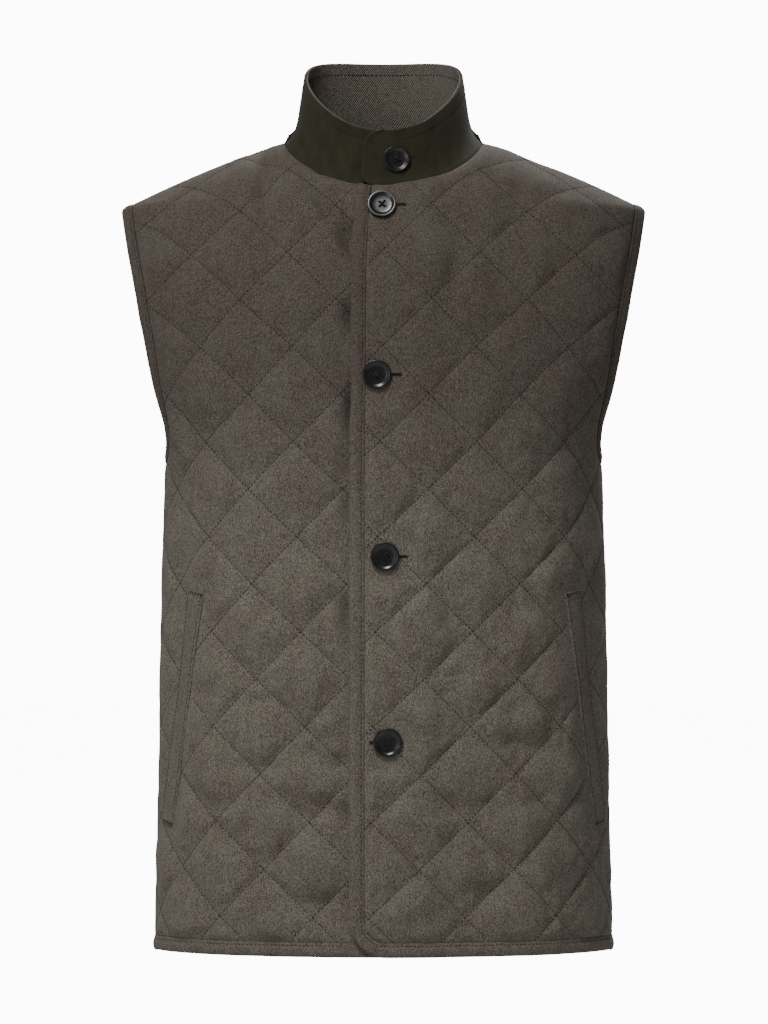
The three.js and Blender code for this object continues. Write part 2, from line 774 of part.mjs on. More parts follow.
// A wall between two grids of points
function gridWall(name, outer, inner, material) {
  const rows = outer.length;
  const columns = outer[0].length;
  const count = rows * columns;
  const corners = [...outer.flat(), ...inner.flat()];
  const faces = [];
  for (let row = 0; row + 1 < rows; row += 1) {
    for (let column = 0; column + 1 < columns; column += 1) {
      const a = row * columns + column;
      const b = a + 1;
      const c = a + columns + 1;
      const d = a + columns;
      faces.push([a, b, c], [a, c, d]);
      faces.push([a + count, c + count, b + count], [a + count, d + count, c + count]);
    }
  }
  const rim = [];
  for (let column = 0; column < columns; column += 1) rim.push(column);
  for (let row = 1; row < rows; row += 1) rim.push(row * columns + columns - 1);
  for (let column = columns - 2; column >= 0; column -= 1) rim.push((rows - 1) * columns + column);
  for (let row = rows - 2; row > 0; row -= 1) rim.push(row * columns);
  rim.forEach((from, index) => {
    const to = rim[(index + 1) % rim.length];
    faces.push([to, from, from + count], [to, from + count, to + count]);
  });
  return makeSolid(name, corners, faces, material);
}

function between(one, other, share) {
  return {
    along: one.along + (other.along - one.along) * share,
    height: one.height + (other.height - one.height) * share,
  };
}

// A band that lies under the other front is pressed flat.
function bandSections(panel, cutEdge, stitchedEdge) {
  return cutEdge.map((cut, index) =>
    BAND_SECTION.map(({ across, out }) => {
      const place = between(cut, stitchedEdge[index], across);
      const covered = panel.coveredTo !== null && place.along < panel.coveredTo;
      return panelPoint(panel, place, covered ? Math.min(out, WALL) : out);
    }),
  );
}

function armholeBinding(name, mirror, material) {
  const sections = ['front', 'back'].map((face) => {
    const panel = { name: 'binding', face, mirror, lifted: false, halfGap: 0, coveredTo: null };
    return bandSections(panel, armholeEdge(face, 0), armholeEdge(face, ARMHOLE_BAND));
  });
  const [front, back] = sections;
  return strip(name, [...front, ...back.reverse().slice(1, -1)], true, material);
}

function pocketWelt(name, panel, material) {
  const outer = [];
  const inner = [];
  for (let step = 0; step <= WELT.steps; step += 1) {
    const line = between(WELT.top, WELT.bottom, step / WELT.steps);
    const rowOuter = [];
    const rowInner = [];
    for (const share of WELT.shares) {
      const height = line.height - WELT.endDrop * share;
      const place = { along: line.along + WELT.width * share, height };
      const crown = WELT.thickness + WELT.crown * Math.sin(Math.PI * share);
      rowOuter.push(panelPoint(panel, place, WELT.out + crown));
      rowInner.push(panelPoint(panel, place, WELT.out));
    }
    outer.push(rowOuter);
    inner.push(rowInner);
  }
  return gridWall(name, outer, inner, material);
}

// Collar. A turn of 0 is the centre back, and half a turn to either side is the centre front.
function collarSkin(turn, share, inwards) {
  const side = turn < 0 ? -1 : 1;
  const fromFront = Math.PI - Math.abs(turn);
  const sine = Math.sin(fromFront);
  const cosine = Math.cos(fromFront);
  const along = NECK_HALF_WIDTH * sine;
  const face = cosine > 0 ? 'front' : 'back';
  const level = cosine > 0 ? neckHeight(along) : backNeckHeight(along);
  const lift = lapLift({ lifted: side > 0 && cosine > 0 }, along);
  const base = formPoint(face, along, level, lift, 0);
  base.x = side * (base.x - SEAM_GAP * sine);
  base.z += SEAM_GAP * Math.max(Math.abs(cosine), COLLAR_SEAT_SLANT) + COLLAR_SEAT;
  const outwards = new THREE.Vector3(side * sine, -cosine, 0);
  const rimDepth = cosine > 0 ? -COLLAR.rimFront : COLLAR.rimBack;
  const rim = new THREE.Vector3(
    side * COLLAR.rimHalfWidth * sine,
    -rimDepth * cosine,
    COLLAR.rimMiddle - COLLAR.rimTilt * cosine + COLLAR.rimSideLift * sine * sine,
  ).addScaledVector(outwards, lift);
  const flare = 1 - (1 - share) ** COLLAR_FLARE_POWER;
  const lean = (1 - COLLAR_FLARE_SHARE) * share + COLLAR_FLARE_SHARE * flare;
  return new THREE.Vector3(
    base.x + (rim.x - base.x) * lean,
    base.y + (rim.y - base.y) * lean,
    base.z + (rim.z - base.z) * share,
  ).addScaledVector(outwards, -inwards);
}

// How far a collar end has been rounded off at a share of its height
function cornerCut(share, height) {
  const above = (1 - share) * height;
  const below = share * height;
  const cut = (radius, away) =>
    away >= radius ? 0 : radius - Math.sqrt(radius * radius - (radius - away) ** 2);
  return cut(COLLAR.upperCorner, above) + cut(COLLAR.lowerCorner, below);
}

function collarWall(name, from, to, material) {
  const build = (inwards) =>
    COLLAR.shares.map((share) => {
      const cut = cornerCut(share, COLLAR.height);
      const radius = COLLAR.rimHalfWidth + (NECK_HALF_WIDTH - COLLAR.rimHalfWidth) * (1 - share);
      const over = Math.PI + Math.asin((COLLAR.overEnd - cut) / radius);
      const under = -Math.PI - Math.asin((COLLAR.underEnd - cut) / radius);
      const row = [];
      for (let column = 0; column <= COLLAR.columns; column += 1) {
        row.push(collarSkin(under + ((over - under) * column) / COLLAR.columns, share, inwards));
      }
      return row;
    });
  return gridWall(name, build(from), build(to), material);
}

// A four-hole button's blank, turned with a raised rim, its back on the XZ plane
function buttonMesh(name, radius, material) {
  const profile = BUTTON_PROFILE.map(
    ([across, up]) => new THREE.Vector2(radius * across, BUTTON_THICKNESS * up),
  );
  const mesh = new THREE.Mesh(new THREE.LatheGeometry(profile, BUTTON_SIDES), material);
  mesh.name = name;
  return mesh;
}

function placeButton(mesh, point, normal) {
  mesh.position.copy(point);
  mesh.quaternion.setFromUnitVectors(new THREE.Vector3(0, 1, 0), normal);
  return mesh;
}

const cloth = new THREE.MeshStandardMaterial({ color: 0x544d45, roughness: 0.9, metalness: 0 });
const bandCloth = new THREE.MeshStandardMaterial({ color: 0x4d463f, roughness: 0.9, metalness: 0 });
const collarCloth = new THREE.MeshStandardMaterial({ color: 0x2b281c, roughness: 0.95, metalness: 0 });
const facingCloth = new THREE.MeshStandardMaterial({ color: 0x504b44, roughness: 0.9, metalness: 0 });
const horn = new THREE.MeshStandardMaterial({ color: 0x17161a, roughness: 0.25, metalness: 0 });

const frontLeft = {
  name: 'front_left',
  face: 'front',
  mirror: 1,
  lifted: true,
  drift: 0.024,
  welt: true,
  buttons: BUTTONS,
  coveredTo: null,
};
const frontRight = {
  name: 'front_right',
  face: 'front',
  mirror: -1,
  lifted: false,
  drift: 0.042,
  welt: true,
  buttons: [],
  coveredTo: OVER_LAP,
};
const back = {
  name: 'back',
  face: 'back',
  mirror: 1,
  lifted: false,
  drift: 0,
  welt: false,
  buttons: [],
  coveredTo: null,
};

function edgeBinding(name, panel, lap, corner, material) {
  const sections = bandSections(panel, frontEdge(lap, corner, 0), frontEdge(lap, corner, BAND));
  return strip(name, sections, false, material);
}

function backHemBinding(material) {
  const whole = (inset) => {
    const half = hemEdge('back', 0, inset);
    const other = half.slice(1).reverse().map((place) => ({ ...place, along: -place.along }));
    return [...other, ...half];
  };
  return strip('hem_binding_back', bandSections(back, whole(0), whole(BAND)), false, material);
}

function frontButton(button, material) {
  const place = { along: button.across, height: button.height };
  const low = panelPoint(frontLeft, place, WALL);
  const normal = panelPoint(frontLeft, place, WALL + 1).sub(low);
  const seat = low.clone().addScaledVector(normal, BUTTON_SEAT);
  return placeButton(buttonMesh(button.name, BUTTON_RADIUS, material), seat, normal);
}

function collarButton(material) {
  const { name, across, share, turnStep, shareStep } = COLLAR_BUTTON;
  const turn = Math.PI - Math.asin(across / NECK_HALF_WIDTH);
  const seat = collarSkin(turn, share, 0);
  const sideways = collarSkin(turn + turnStep, share, 0).sub(collarSkin(turn - turnStep, share, 0));
  const up = collarSkin(turn, share + shareStep, 0).sub(collarSkin(turn, share - shareStep, 0));
  const normal = up.cross(sideways).normalize();
  seat.addScaledVector(normal, BUTTON_SEAT);
  return placeButton(buttonMesh(name, COLLAR_BUTTON_RADIUS, material), seat, normal);
}

const vest = new THREE.Group();
vest.add(quiltedPanel(frontLeft, frontOutline(OVER_LAP, OVER_CORNER), cloth));
vest.add(quiltedPanel(frontRight, frontOutline(UNDER_LAP, UNDER_CORNER), cloth));
vest.add(quiltedPanel(back, backOutline(), cloth));
vest.add(edgeBinding('edge_binding_left', frontLeft, OVER_LAP, OVER_CORNER, bandCloth));
vest.add(edgeBinding('edge_binding_right', frontRight, UNDER_LAP, UNDER_CORNER, bandCloth));
vest.add(backHemBinding(bandCloth));
vest.add(armholeBinding('armhole_binding_left', 1, bandCloth));
vest.add(armholeBinding('armhole_binding_right', -1, bandCloth));
vest.add(pocketWelt('pocket_welt_left', frontLeft, bandCloth));
vest.add(pocketWelt('pocket_welt_right', frontRight, bandCloth));
vest.add(collarWall('collar_shell', 0, COLLAR.shell, collarCloth));
const facingStart = COLLAR.shell + SEAM_GAP;
vest.add(collarWall('collar_facing', facingStart, facingStart + COLLAR.facing, facingCloth));
for (const button of BUTTONS) vest.add(frontButton(button, horn));
vest.add(collarButton(horn));

export default vest;
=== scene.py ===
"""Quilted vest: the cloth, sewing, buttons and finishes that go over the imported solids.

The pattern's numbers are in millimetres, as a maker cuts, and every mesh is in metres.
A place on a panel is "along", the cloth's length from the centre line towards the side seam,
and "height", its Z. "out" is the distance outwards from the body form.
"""

import math

import bpy
import numpy as np
from mathutils import Matrix, Vector, kdtree, noise
from mathutils.geometry import delaunay_2d_cdt


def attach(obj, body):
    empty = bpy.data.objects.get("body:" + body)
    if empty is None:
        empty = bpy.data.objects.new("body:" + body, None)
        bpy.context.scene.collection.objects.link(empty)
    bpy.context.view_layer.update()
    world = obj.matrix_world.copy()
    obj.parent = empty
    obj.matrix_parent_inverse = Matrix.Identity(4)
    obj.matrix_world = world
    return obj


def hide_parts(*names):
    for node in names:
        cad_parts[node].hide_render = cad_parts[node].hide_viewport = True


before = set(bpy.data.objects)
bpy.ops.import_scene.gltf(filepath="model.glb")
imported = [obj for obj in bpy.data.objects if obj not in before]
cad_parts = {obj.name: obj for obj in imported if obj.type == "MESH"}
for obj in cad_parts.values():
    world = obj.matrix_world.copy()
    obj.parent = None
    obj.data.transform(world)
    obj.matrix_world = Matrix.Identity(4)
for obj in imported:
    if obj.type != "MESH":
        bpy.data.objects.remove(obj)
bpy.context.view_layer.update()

bl_info = {
    "name": "Quilted vest",
    "version": (1, 0, 0),
    "blender": (4, 5, 0),
    "location": "View3D > Sidebar > Vest",
    "description": "Builds a quilted button-front vest with its stage",
    "category": "Object",
}

MM = 0.001
BODY = "root"

# Cloth and seams
SEAM_GAP = 0.4
SEAM_OVERLAP = 0.6
ARMHOLE_GAP = 0.6
WALL = 2.6
BAND = 11
ARMHOLE_BAND = 8
BAND_FLAT = 2.4
ARMHOLE_RELIEF = 0.5
EDGE_ROLL = 0.8
EDGE_ROLL_WIDTH = 1.3
NECK_ROLL = 1.9
NECK_ROLL_WIDTH = 4.5
NECK_SIDE_FADE, NECK_FRONT_FADE = (14, -6), (-30, -4)
COLLAR_DROP, COLLAR_DROP_FADE = 3.0, 3
BAND_STITCH, BAND_STITCH_OUT, ARMHOLE_STITCH_OUT = 0.88, 3.05, 2.75
BAND_WAVE, BAND_WAVE_SPREAD, BAND_WAVE_FROM = 0.35, 17, 2.9

# A bound edge in section: across from the cut edge to the stitched one, and out from the form
BAND_SECTION = (
    (1, 0), (1, 1.3), (1.02, 1.95), (1.1, 2.15), (1.12, 2.45), (1.09, 2.8), (1, 2.95),
    (0.9, 3.05), (0.78, 3.5), (0.64, 3.95),
    (0.5, 4.15), (0.34, 4.1), (0.19, 3.75), (0.08, 3.05), (0.02, 2.1), (0, 1.1), (0.03, 0.3),
    (0.1, -0.35), (0.3, -0.6), (0.9, -0.65), (1.1, -0.55), (1.12, -0.2),
)

# Quilting: diamonds with their corners on a lattice, two grid cells from corner to centre
CELL_ALONG = 20
CELL_DOWN = 19.75
LATTICE_HEIGHT = -338.2
PUFF_FULLNESS = 0.6
PUFF_CHEST_LOSS = 0.4
PUFF_CHEST_TOP = -200
PUFF_CHEST_END = -430
PUFF_SHOULDER_LOSS = 0.85
SIDE_PUFF = 0.2
SIDE_FADE_START = 12
SIDE_FADE = 62
PUFF_VARIETY, PUFF_VARIETY_SPREAD = 0.6, 62
SWELL_HEIGHT, SWELL_SPREAD = 2.6, 24
SWELL_CHEST_LOSS = 0.5
PUCKER_HEIGHT, PUCKER_PITCH, PUCKER_REACH, PUCKER_FALL = 1.3, 7.5, 6, 2.2
SEAM_REACH = 9
DRIFT_START = -150
LATTICE_STEPS = 24
FINE_STEP = 2.4
CLEAR_OF_EDGE = FINE_STEP * 0.55
ROW_STEP = 0.06
ROW_LIFT = 0.05
SHORTEST_ROW = 4

# Heights and widths of the whole garment
NECK_HALF_WIDTH = 84
NECK_HEIGHT = -3
SHOULDER_TIP = -63
UNDERARM = -268
HEM = -692.5
HEM_RISE = 5.5
HEM_RISE_WIDTH = 283
HEM_RISE_POWER = 4

# Button front
OVER_LAP = 28
UNDER_LAP = 22
LAP_LIFT = 4.2
LAP_FADE_START = 30
LAP_FADE_END = 60
LAP_SHIFT = 5.5
LAP_SHIFT_FADE = 50
COVER_FADE = 16
HOLLOW_START, HOLLOW_FULL = -26, -2
OVER_CORNER = 30
UNDER_CORNER = 14

# The body form, from the hem up: height, half width, depth in front, depth behind, squareness
FORM = np.array([
    (-692.5, 193, 127, 127, 2.3),
    (-624, 191, 125.5, 124.8, 2.3),
    (-550, 189.3, 124, 122, 2.3),
    (-450, 188, 122.5, 118, 2.3),
    (-350, 186, 121.6, 117, 2.3),
    (-270, 183.6, 121, 121, 2.3),
    (-248, 189, 120.6, 121, 2.3),
    (-220, 201.5, 119.7, 120.3, 2.3),
    (-190, 213, 118.5, 118.5, 2.27),
    (-150, 223, 115, 115, 2.2),
    (-110, 226, 108, 108, 2.12),
    (-82, 225, 99, 100, 2.05),
    (-63, 221.5, 92.5, 94.5, 2),
    (-53, 203.5, 88, 91, 2),
    (-39.5, 174.5, 81, 86, 2),
    (-25.5, 141.5, 73, 79, 2),
    (-12, 107.5, 62, 72, 2),
    (-3, 84, 55, 68, 2),
    (11, 78.4, 50, 62, 2),
    (17, 76, 45, 60, 2),
])
HALF_WIDTH, FRONT_DEPTH, BACK_DEPTH, SQUARENESS = 1, 2, 3, 4

# The armhole's edge, from the shoulder tip down: height, and degrees round the body
ARMHOLE = (
    (-63, 90, 90), (-94, 73, 74.5), (-128, 67.5, 69.5), (-162, 65.5, 68), (-196, 67, 69),
    (-216, 69.3, 70.8), (-234, 71.8, 72.8), (-249, 75, 75.7), (-260, 79.3, 79.7),
    (-266, 84.2, 84.4),
)

# Cloth is folded over the shoulder, so its length runs ahead of its height near the seam.
SHOULDER_EXTRA = 40
CENTRE_EXTRA = 5
EXTRA_FADE = 22
EXTRA_FROM = {"front": 40, "back": 70}
EXTRA_TO = {"front": 100, "back": 130}
WIDEST_HEIGHT = -110
WRAP_START = -140
WRAP_END = -270
RING_STEPS = 48

# Buttons, from the collar down: how far to the wearer's left of the centre, and how high
BUTTONS = (("button_1", -1.3, -64), ("button_2", -5.4, -204.5), ("button_3", 0.8, -355),
           ("button_4", 2.9, -509))
COLLAR_BUTTON = ("button_collar", 12, 0.44)
BUTTON_FLAT = 20
BUTTON_FLAT_FADE = 34
BUTTON_SEAT = 0.85

# Pocket welts: the front edge of each opening, from its top to its bottom
WELT_TOP = (156, -386)
WELT_BOTTOM = (196, -583)
WELT_WIDTH = 21
WELT_END_DROP = -3.5
WELT_OUT = 3.0
WELT_RELIEF = 0.55
WELT_FLATNESS = 0.12
WELT_FADE = 24

# Stand collar: a base curve on the neck, and a rim that is higher behind than in front
BASE_MIDDLE, BASE_TILT, BASE_SIDE_LIFT = -15.4, 30.3, 12.4
RIM_HALF_WIDTH, RIM_FRONT, RIM_BACK = 67.9, -75, 58
RIM_MIDDLE, RIM_TILT, RIM_SIDE_LIFT = 36, 34, 18
NECK_FRONT = BASE_MIDDLE - BASE_TILT
OVER_END, UNDER_END = 19, 17
UPPER_CORNER, LOWER_CORNER = 15, 6
TAB_SLANT, TAB_STANDOFF, TAB_RIDGE = 4, 1.5, 1.1
COLLAR_STITCH = 8
COLLAR_HEIGHT = 45
COLLAR_RADIUS = 75
SHELL, FACING = 1.8, 1.2
SHELL_TUCK, FACING_TUCK = 0.07, 0.14
FLARE_SHARE = 0.45
FLARE_POWER = 8

# Folds on each panel: along, height, length, width, lean and depth, a trough being negative.
# The first of each are the main ones, and the rest are the slighter creases between them.
FOLDS = {
    "front_left": (
        (112, -78, 60, 16, 0.25, -2.5), (150, -330, 120, 26, -0.05, 2.5),
        (196, -420, 110, 17, 0.04, -4), (85, -600, 85, 22, 0.2, -2.5),
        (128, -640, 75, 20, -0.1, 2.5),
        (60, -110, 46, 9, 0.35, -1.1), (146, -128, 52, 10, -0.2, -1.0),
        (30, -300, 60, 12, 0.1, -0.9), (104, -250, 64, 14, 0.5, -1.0),
        (60, -470, 70, 13, -0.35, -1.2), (160, -500, 60, 12, 0.25, 1.1),
        (222, -330, 66, 11, 0.05, -1.0), (228, -560, 90, 13, -0.08, 0.6),
        (40, -655, 40, 12, 0.3, -1.2), (190, -655, 46, 12, -0.25, -1.2),
        (60, -452, 9, 20, 0.9, -2), (108, -510, 8, 22, -0.8, -2.2), (62, -560, 10, 22, 0.7, -2.6),
        (132, -560, 9, 20, 1, -2.2), (84, -636, 10, 24, -0.6, -2.8), (150, -628, 9, 18, 0.8, -2),
        (112, -400, 9, 18, 0.6, -1.6),
    ),
    "front_right": (
        (100, -70, 65, 14, 0.2, -3), (58, -95, 50, 14, 0.3, -2),
        (66, -500, 60, 24, 0.5, -2.5), (90, -625, 75, 22, -0.2, -3),
        (190, -450, 120, 17, -0.04, -4), (140, -560, 90, 24, 0.1, 2.5),
        (40, -100, 44, 10, 0.1, -1.4), (36, -190, 40, 11, 0.55, -1.3),
        (38, -300, 42, 12, -0.4, -1.3), (36, -395, 34, 11, 0.4, -1.4),
        (118, -215, 70, 14, -0.4, -1.0), (96, -350, 58, 13, 0.35, 1.1),
        (52, -590, 46, 12, 0.6, -1.8), (44, -655, 44, 12, -0.5, -1.8),
        (222, -350, 70, 11, 0.06, -1.0), (232, -600, 66, 12, -0.1, 0.6),
        (98, -476, 6, 18, 0.4, -3), (108, -530, 8, 26, -1, -3), (46, -566, 11, 24, 1.2, -5),
        (42, -526, 9, 18, 1, -3.6), (54, -641, 12, 24, 0.8, -4.4), (27, -402, 14, 8, 0.25, -5.5),
        (27, -318, 14, 8, 0.25, -5.5), (26, -236, 20, 7, 0.08, -8), (26, -157, 15, 7.5, 0.2, -7.5),
        (46, -72, 34, 7, 0.64, -5.6), (57, -62, 32, 8, 0.64, 2.6), (27, -90, 17, 7.5, 0.25, -8.5),
        (100, -44, 30, 6, 0.12, -4), (113, -46, 30, 8, 0.16, 2.4), (52, -50, 20, 6, 0.2, -3),
        (150, -470, 8, 18, 0.8, -1.8), (128, -590, 9, 22, -0.8, -2.2),
    ),
    "back": (
        (-150, -120, 80, 24, -0.5, -3), (142, -135, 70, 22, 0.45, -2.5),
        (-88, -400, 120, 28, 0.1, -4), (105, -430, 100, 24, -0.12, -3.5),
        (14, -360, 90, 30, 0.05, -2), (-170, -590, 80, 24, -0.1, 3),
        (180, -600, 70, 22, 0.1, 2.5),
        (-40, -60, 46, 14, 0.2, -1.2), (62, -84, 52, 13, -0.3, -1.0),
        (-120, -250, 66, 13, 0.35, -1.2), (134, -280, 58, 12, -0.45, -1.4),
        (-30, -520, 74, 14, -0.15, 1.2), (52, -600, 60, 13, 0.25, -1.3),
        (-226, -380, 74, 12, 0.08, -1.4), (232, -440, 66, 12, -0.05, -1.2),
        (-100, -640, 44, 12, 0.3, -1.3), (20, -220, 50, 16, 0.5, 0.9),
        (-52, -470, 10, 26, 0.8, -2.4), (70, -520, 9, 24, -0.9, -2.6), (-120, -540, 11, 26, 0.7, -2.8),
        (6, -610, 10, 28, 0.4, -2.8), (130, -620, 9, 22, -0.7, -2.4), (-64, -350, 9, 22, -0.6, -1.8),
        (86, -350, 10, 22, 0.7, -1.8), (-170, -470, 9, 20, 0.9, -2.2), (176, -500, 9, 20, -0.8, -2),
    ),
    "binding": (),
}

FRONT_LEFT = {"name": "front_left", "face": "front", "mirror": 1, "lifted": True,
              "drift": 0.024, "welt": True, "buttons": BUTTONS, "covered_to": None,
              "lap": OVER_LAP, "corner": OVER_CORNER, "seed": 3.0}
FRONT_RIGHT = {"name": "front_right", "face": "front", "mirror": -1, "lifted": False,
               "drift": 0.042, "welt": True, "buttons": (), "covered_to": OVER_LAP,
               "lap": UNDER_LAP, "corner": UNDER_CORNER, "seed": 11.0}
BACK = {"name": "back", "face": "back", "mirror": 1, "lifted": False, "drift": 0,
        "welt": False, "buttons": (), "covered_to": None, "lap": 0, "corner": 0, "seed": 23.0}


def smooth_step(start, end, value):
    share = np.clip((value - start) / (end - start), 0, 1)
    return share * share * (3 - 2 * share)


def depth_column(face):
    return FRONT_DEPTH if face == "front" else BACK_DEPTH


# The body form

def form_value(column, height):
    """One column of the form at any heights, along a smooth curve through its rows."""
    heights, values = FORM[:, 0], FORM[:, column]
    between = np.diff(values) / np.diff(heights)
    before, after = between[:-1], between[1:]
    total = np.where(before * after > 0, before + after, 1)
    inner = np.where(before * after > 0, 2 * before * after / total, 0)
    slopes = np.concatenate(([between[0]], inner, [between[-1]]))
    height = np.asarray(height, float)
    row = np.clip(np.searchsorted(heights, height, side="right") - 1, 0, len(heights) - 2)
    span = heights[row + 1] - heights[row]
    t = np.clip((height - heights[row]) / span, 0, 1)
    return ((2 * t**3 - 3 * t**2 + 1) * values[row] + (t**3 - 2 * t**2 + t) * slopes[row] * span
            + (3 * t**2 - 2 * t**3) * values[row + 1] + (t**3 - t**2) * slopes[row + 1] * span)


def ring_place(face, angle, height):
    """How far to the side and how far to the front or back a turn round the form lies."""
    power = 2 / form_value(SQUARENESS, height)
    x = form_value(HALF_WIDTH, height) * np.sin(angle) ** power
    y = form_value(depth_column(face), height) * np.maximum(0, np.cos(angle)) ** power
    return x, y


def ring_table(face):
    """Lengths round a quarter ring from the centre line, at every height of a fine scale."""
    heights = np.arange(HEM - 20, 30, 2.0)
    angles = np.linspace(0, math.pi / 2, RING_STEPS + 1)
    x, y = ring_place(face, angles[None, :], heights[:, None])
    steps = np.hypot(np.diff(x, axis=1), np.diff(y, axis=1))
    lengths = np.concatenate((np.zeros((len(heights), 1)), np.cumsum(steps, axis=1)), axis=1)
    return heights, lengths


RINGS = {"front": ring_table("front"), "back": ring_table("back")}


def ring_lengths(face, height):
    """Lengths round the quarter ring at any heights, between the rows of the table."""
    heights, lengths = RINGS[face]
    place = np.clip((height - heights[0]) / (heights[1] - heights[0]), 0, len(heights) - 1.001)
    row = place.astype(int)
    share = (place - row)[:, None]
    return lengths[row] * (1 - share) + lengths[row + 1] * share


def side_length(face, height):
    return ring_lengths(face, np.atleast_1d(np.asarray(height, float)))[:, -1]


def ring_angle(face, along, height):
    """Angle round the ring of a place on the panel: hanging straight above, wrapped below."""
    squareness = form_value(SQUARENESS, height)
    widest = form_value(HALF_WIDTH, np.maximum(height, WIDEST_HEIGHT))
    hanging = np.arcsin(np.minimum(1, along / widest) ** (squareness / 2))
    lengths = ring_lengths(face, height)
    step = np.clip((lengths < along[:, None]).sum(axis=1), 1, RING_STEPS)
    row = np.arange(len(along))
    low, high = lengths[row, step - 1], lengths[row, step]
    part = np.minimum(1, (along - low) / (high - low))
    wrapped = math.pi / 2 * (step - 1 + part) / RING_STEPS
    return hanging + (wrapped - hanging) * smooth_step(WRAP_START, WRAP_END, height)


def along_at(face, angle, height):
    """The place on the panel that lies at an angle round the body, found by halving."""
    low, high = np.zeros_like(height), side_length(face, height)
    for _ in range(40):
        middle = (low + high) / 2
        below = ring_angle(face, middle, height) < angle
        low, high = np.where(below, middle, low), np.where(below, high, middle)
    return (low + high) / 2


def form_point(face, along, height, out, overlap=0):
    """Places on the form, moved outwards. Cloth passes the middle a little at its seams."""
    along = np.asarray(along, float)
    height = np.broadcast_to(np.asarray(height, float), along.shape)
    towards = -1 if face == "front" else 1
    squareness = form_value(SQUARENESS, height)
    width = form_value(HALF_WIDTH, height)
    depth = form_value(depth_column(face), height)
    x, y = ring_place(face, ring_angle(face, np.abs(along), height), height)
    width_slope = (form_value(HALF_WIDTH, height + 1) - form_value(HALF_WIDTH, height - 1)) / 2
    column = depth_column(face)
    depth_slope = (form_value(column, height + 1) - form_value(column, height - 1)) / 2
    share_x, share_y = np.minimum(1, x / width), np.minimum(1, y / depth)
    normal = np.stack((
        np.sign(along) * share_x ** (squareness - 1) / width,
        towards * share_y ** (squareness - 1) / depth,
        -(share_x**squareness * width_slope / width + share_y**squareness * depth_slope / depth),
    ), axis=1)
    normal /= np.linalg.norm(normal, axis=1)[:, None]
    side = np.where(along < 0, -1, 1)
    place = np.stack((x * side, towards * (y - overlap * np.exp(-y / 4)), height), axis=1)
    return place + normal * np.broadcast_to(np.asarray(out, float), along.shape)[:, None]


def shoulder_height(along):
    """Height of the shoulder seam above places on the panel."""
    heights = np.linspace(SHOULDER_TIP, NECK_HEIGHT, 400)
    widths = form_value(HALF_WIDTH, heights)
    return np.interp(np.abs(along), widths[::-1], heights[::-1])


def extra_cloth(face, along, height):
    """How much further the cloth's length has run than its height."""
    share = smooth_step(EXTRA_FROM[face], EXTRA_TO[face], np.abs(along))
    extra = CENTRE_EXTRA + SHOULDER_EXTRA * share
    return extra * np.exp((height - shoulder_height(along)) / EXTRA_FADE)


def cloth_height(face, along, height):
    return height + extra_cloth(face, along, height)


def garment_height(face, along, cloth):
    """The height at which a place on the flat cloth lies, found step by step."""
    height = np.minimum(cloth, shoulder_height(along) + 25)
    for _ in range(25):
        extra = extra_cloth(face, along, height)
        height = height - (height + extra - cloth) / (1 + extra / EXTRA_FADE)
    return height


# Edges of the pieces, as places on a panel, each at an inset from the cut edge

def neck_height(along, tilt=-1):
    sine = np.minimum(1, np.abs(along) / NECK_HALF_WIDTH)
    cosine = np.sqrt(1 - sine * sine)
    return BASE_MIDDLE + tilt * BASE_TILT * cosine + BASE_SIDE_LIFT * sine * sine


def hem_height(along):
    return HEM + HEM_RISE * np.maximum(0, 1 - np.abs(along / HEM_RISE_WIDTH) ** HEM_RISE_POWER)


def chain(along, height):
    along = np.atleast_1d(np.asarray(along, float))
    height = np.asarray(height, float)
    return np.stack((along, np.broadcast_to(height, along.shape)), axis=1)


def run_of(points):
    """The length run through at each point of a line."""
    return np.concatenate(([0], np.cumsum(np.linalg.norm(np.diff(points, axis=0), axis=1))))


def at_lengths(points, lengths, wanted):
    """Places on a line at the wanted lengths along it."""
    return np.stack([np.interp(wanted, lengths, column) for column in points.T], axis=1)


def steps_between(start, end, step=FINE_STEP):
    return np.linspace(start, end, max(2, int(round(abs(end - start) / step)) + 1))


def spaced(points, step):
    """The same line again, with its points evenly spaced."""
    lengths = run_of(points)
    return at_lengths(points, lengths, steps_between(0, lengths[-1], step))


def spline_through(points, shares):
    """A smooth curve through drawn points, at the given shares of its length."""
    points = np.asarray(points, float)
    last = len(points) - 1
    t = np.linspace(0, last, 1200)
    k = np.minimum(t.astype(int), last - 1)
    w = (t - k)[:, None]
    p0, p1 = points[np.maximum(k - 1, 0)], points[k]
    p2, p3 = points[k + 1], points[np.minimum(k + 2, last)]
    v0, v1 = (p2 - p0) / 2, (p3 - p1) / 2
    line = ((2 * p1 - 2 * p2 + v0 + v1) * w**3 + (3 * p2 - 3 * p1 - 2 * v0 - v1) * w**2
            + v0 * w + p1)
    lengths = run_of(line)
    return at_lengths(line, lengths, shares * lengths[-1])


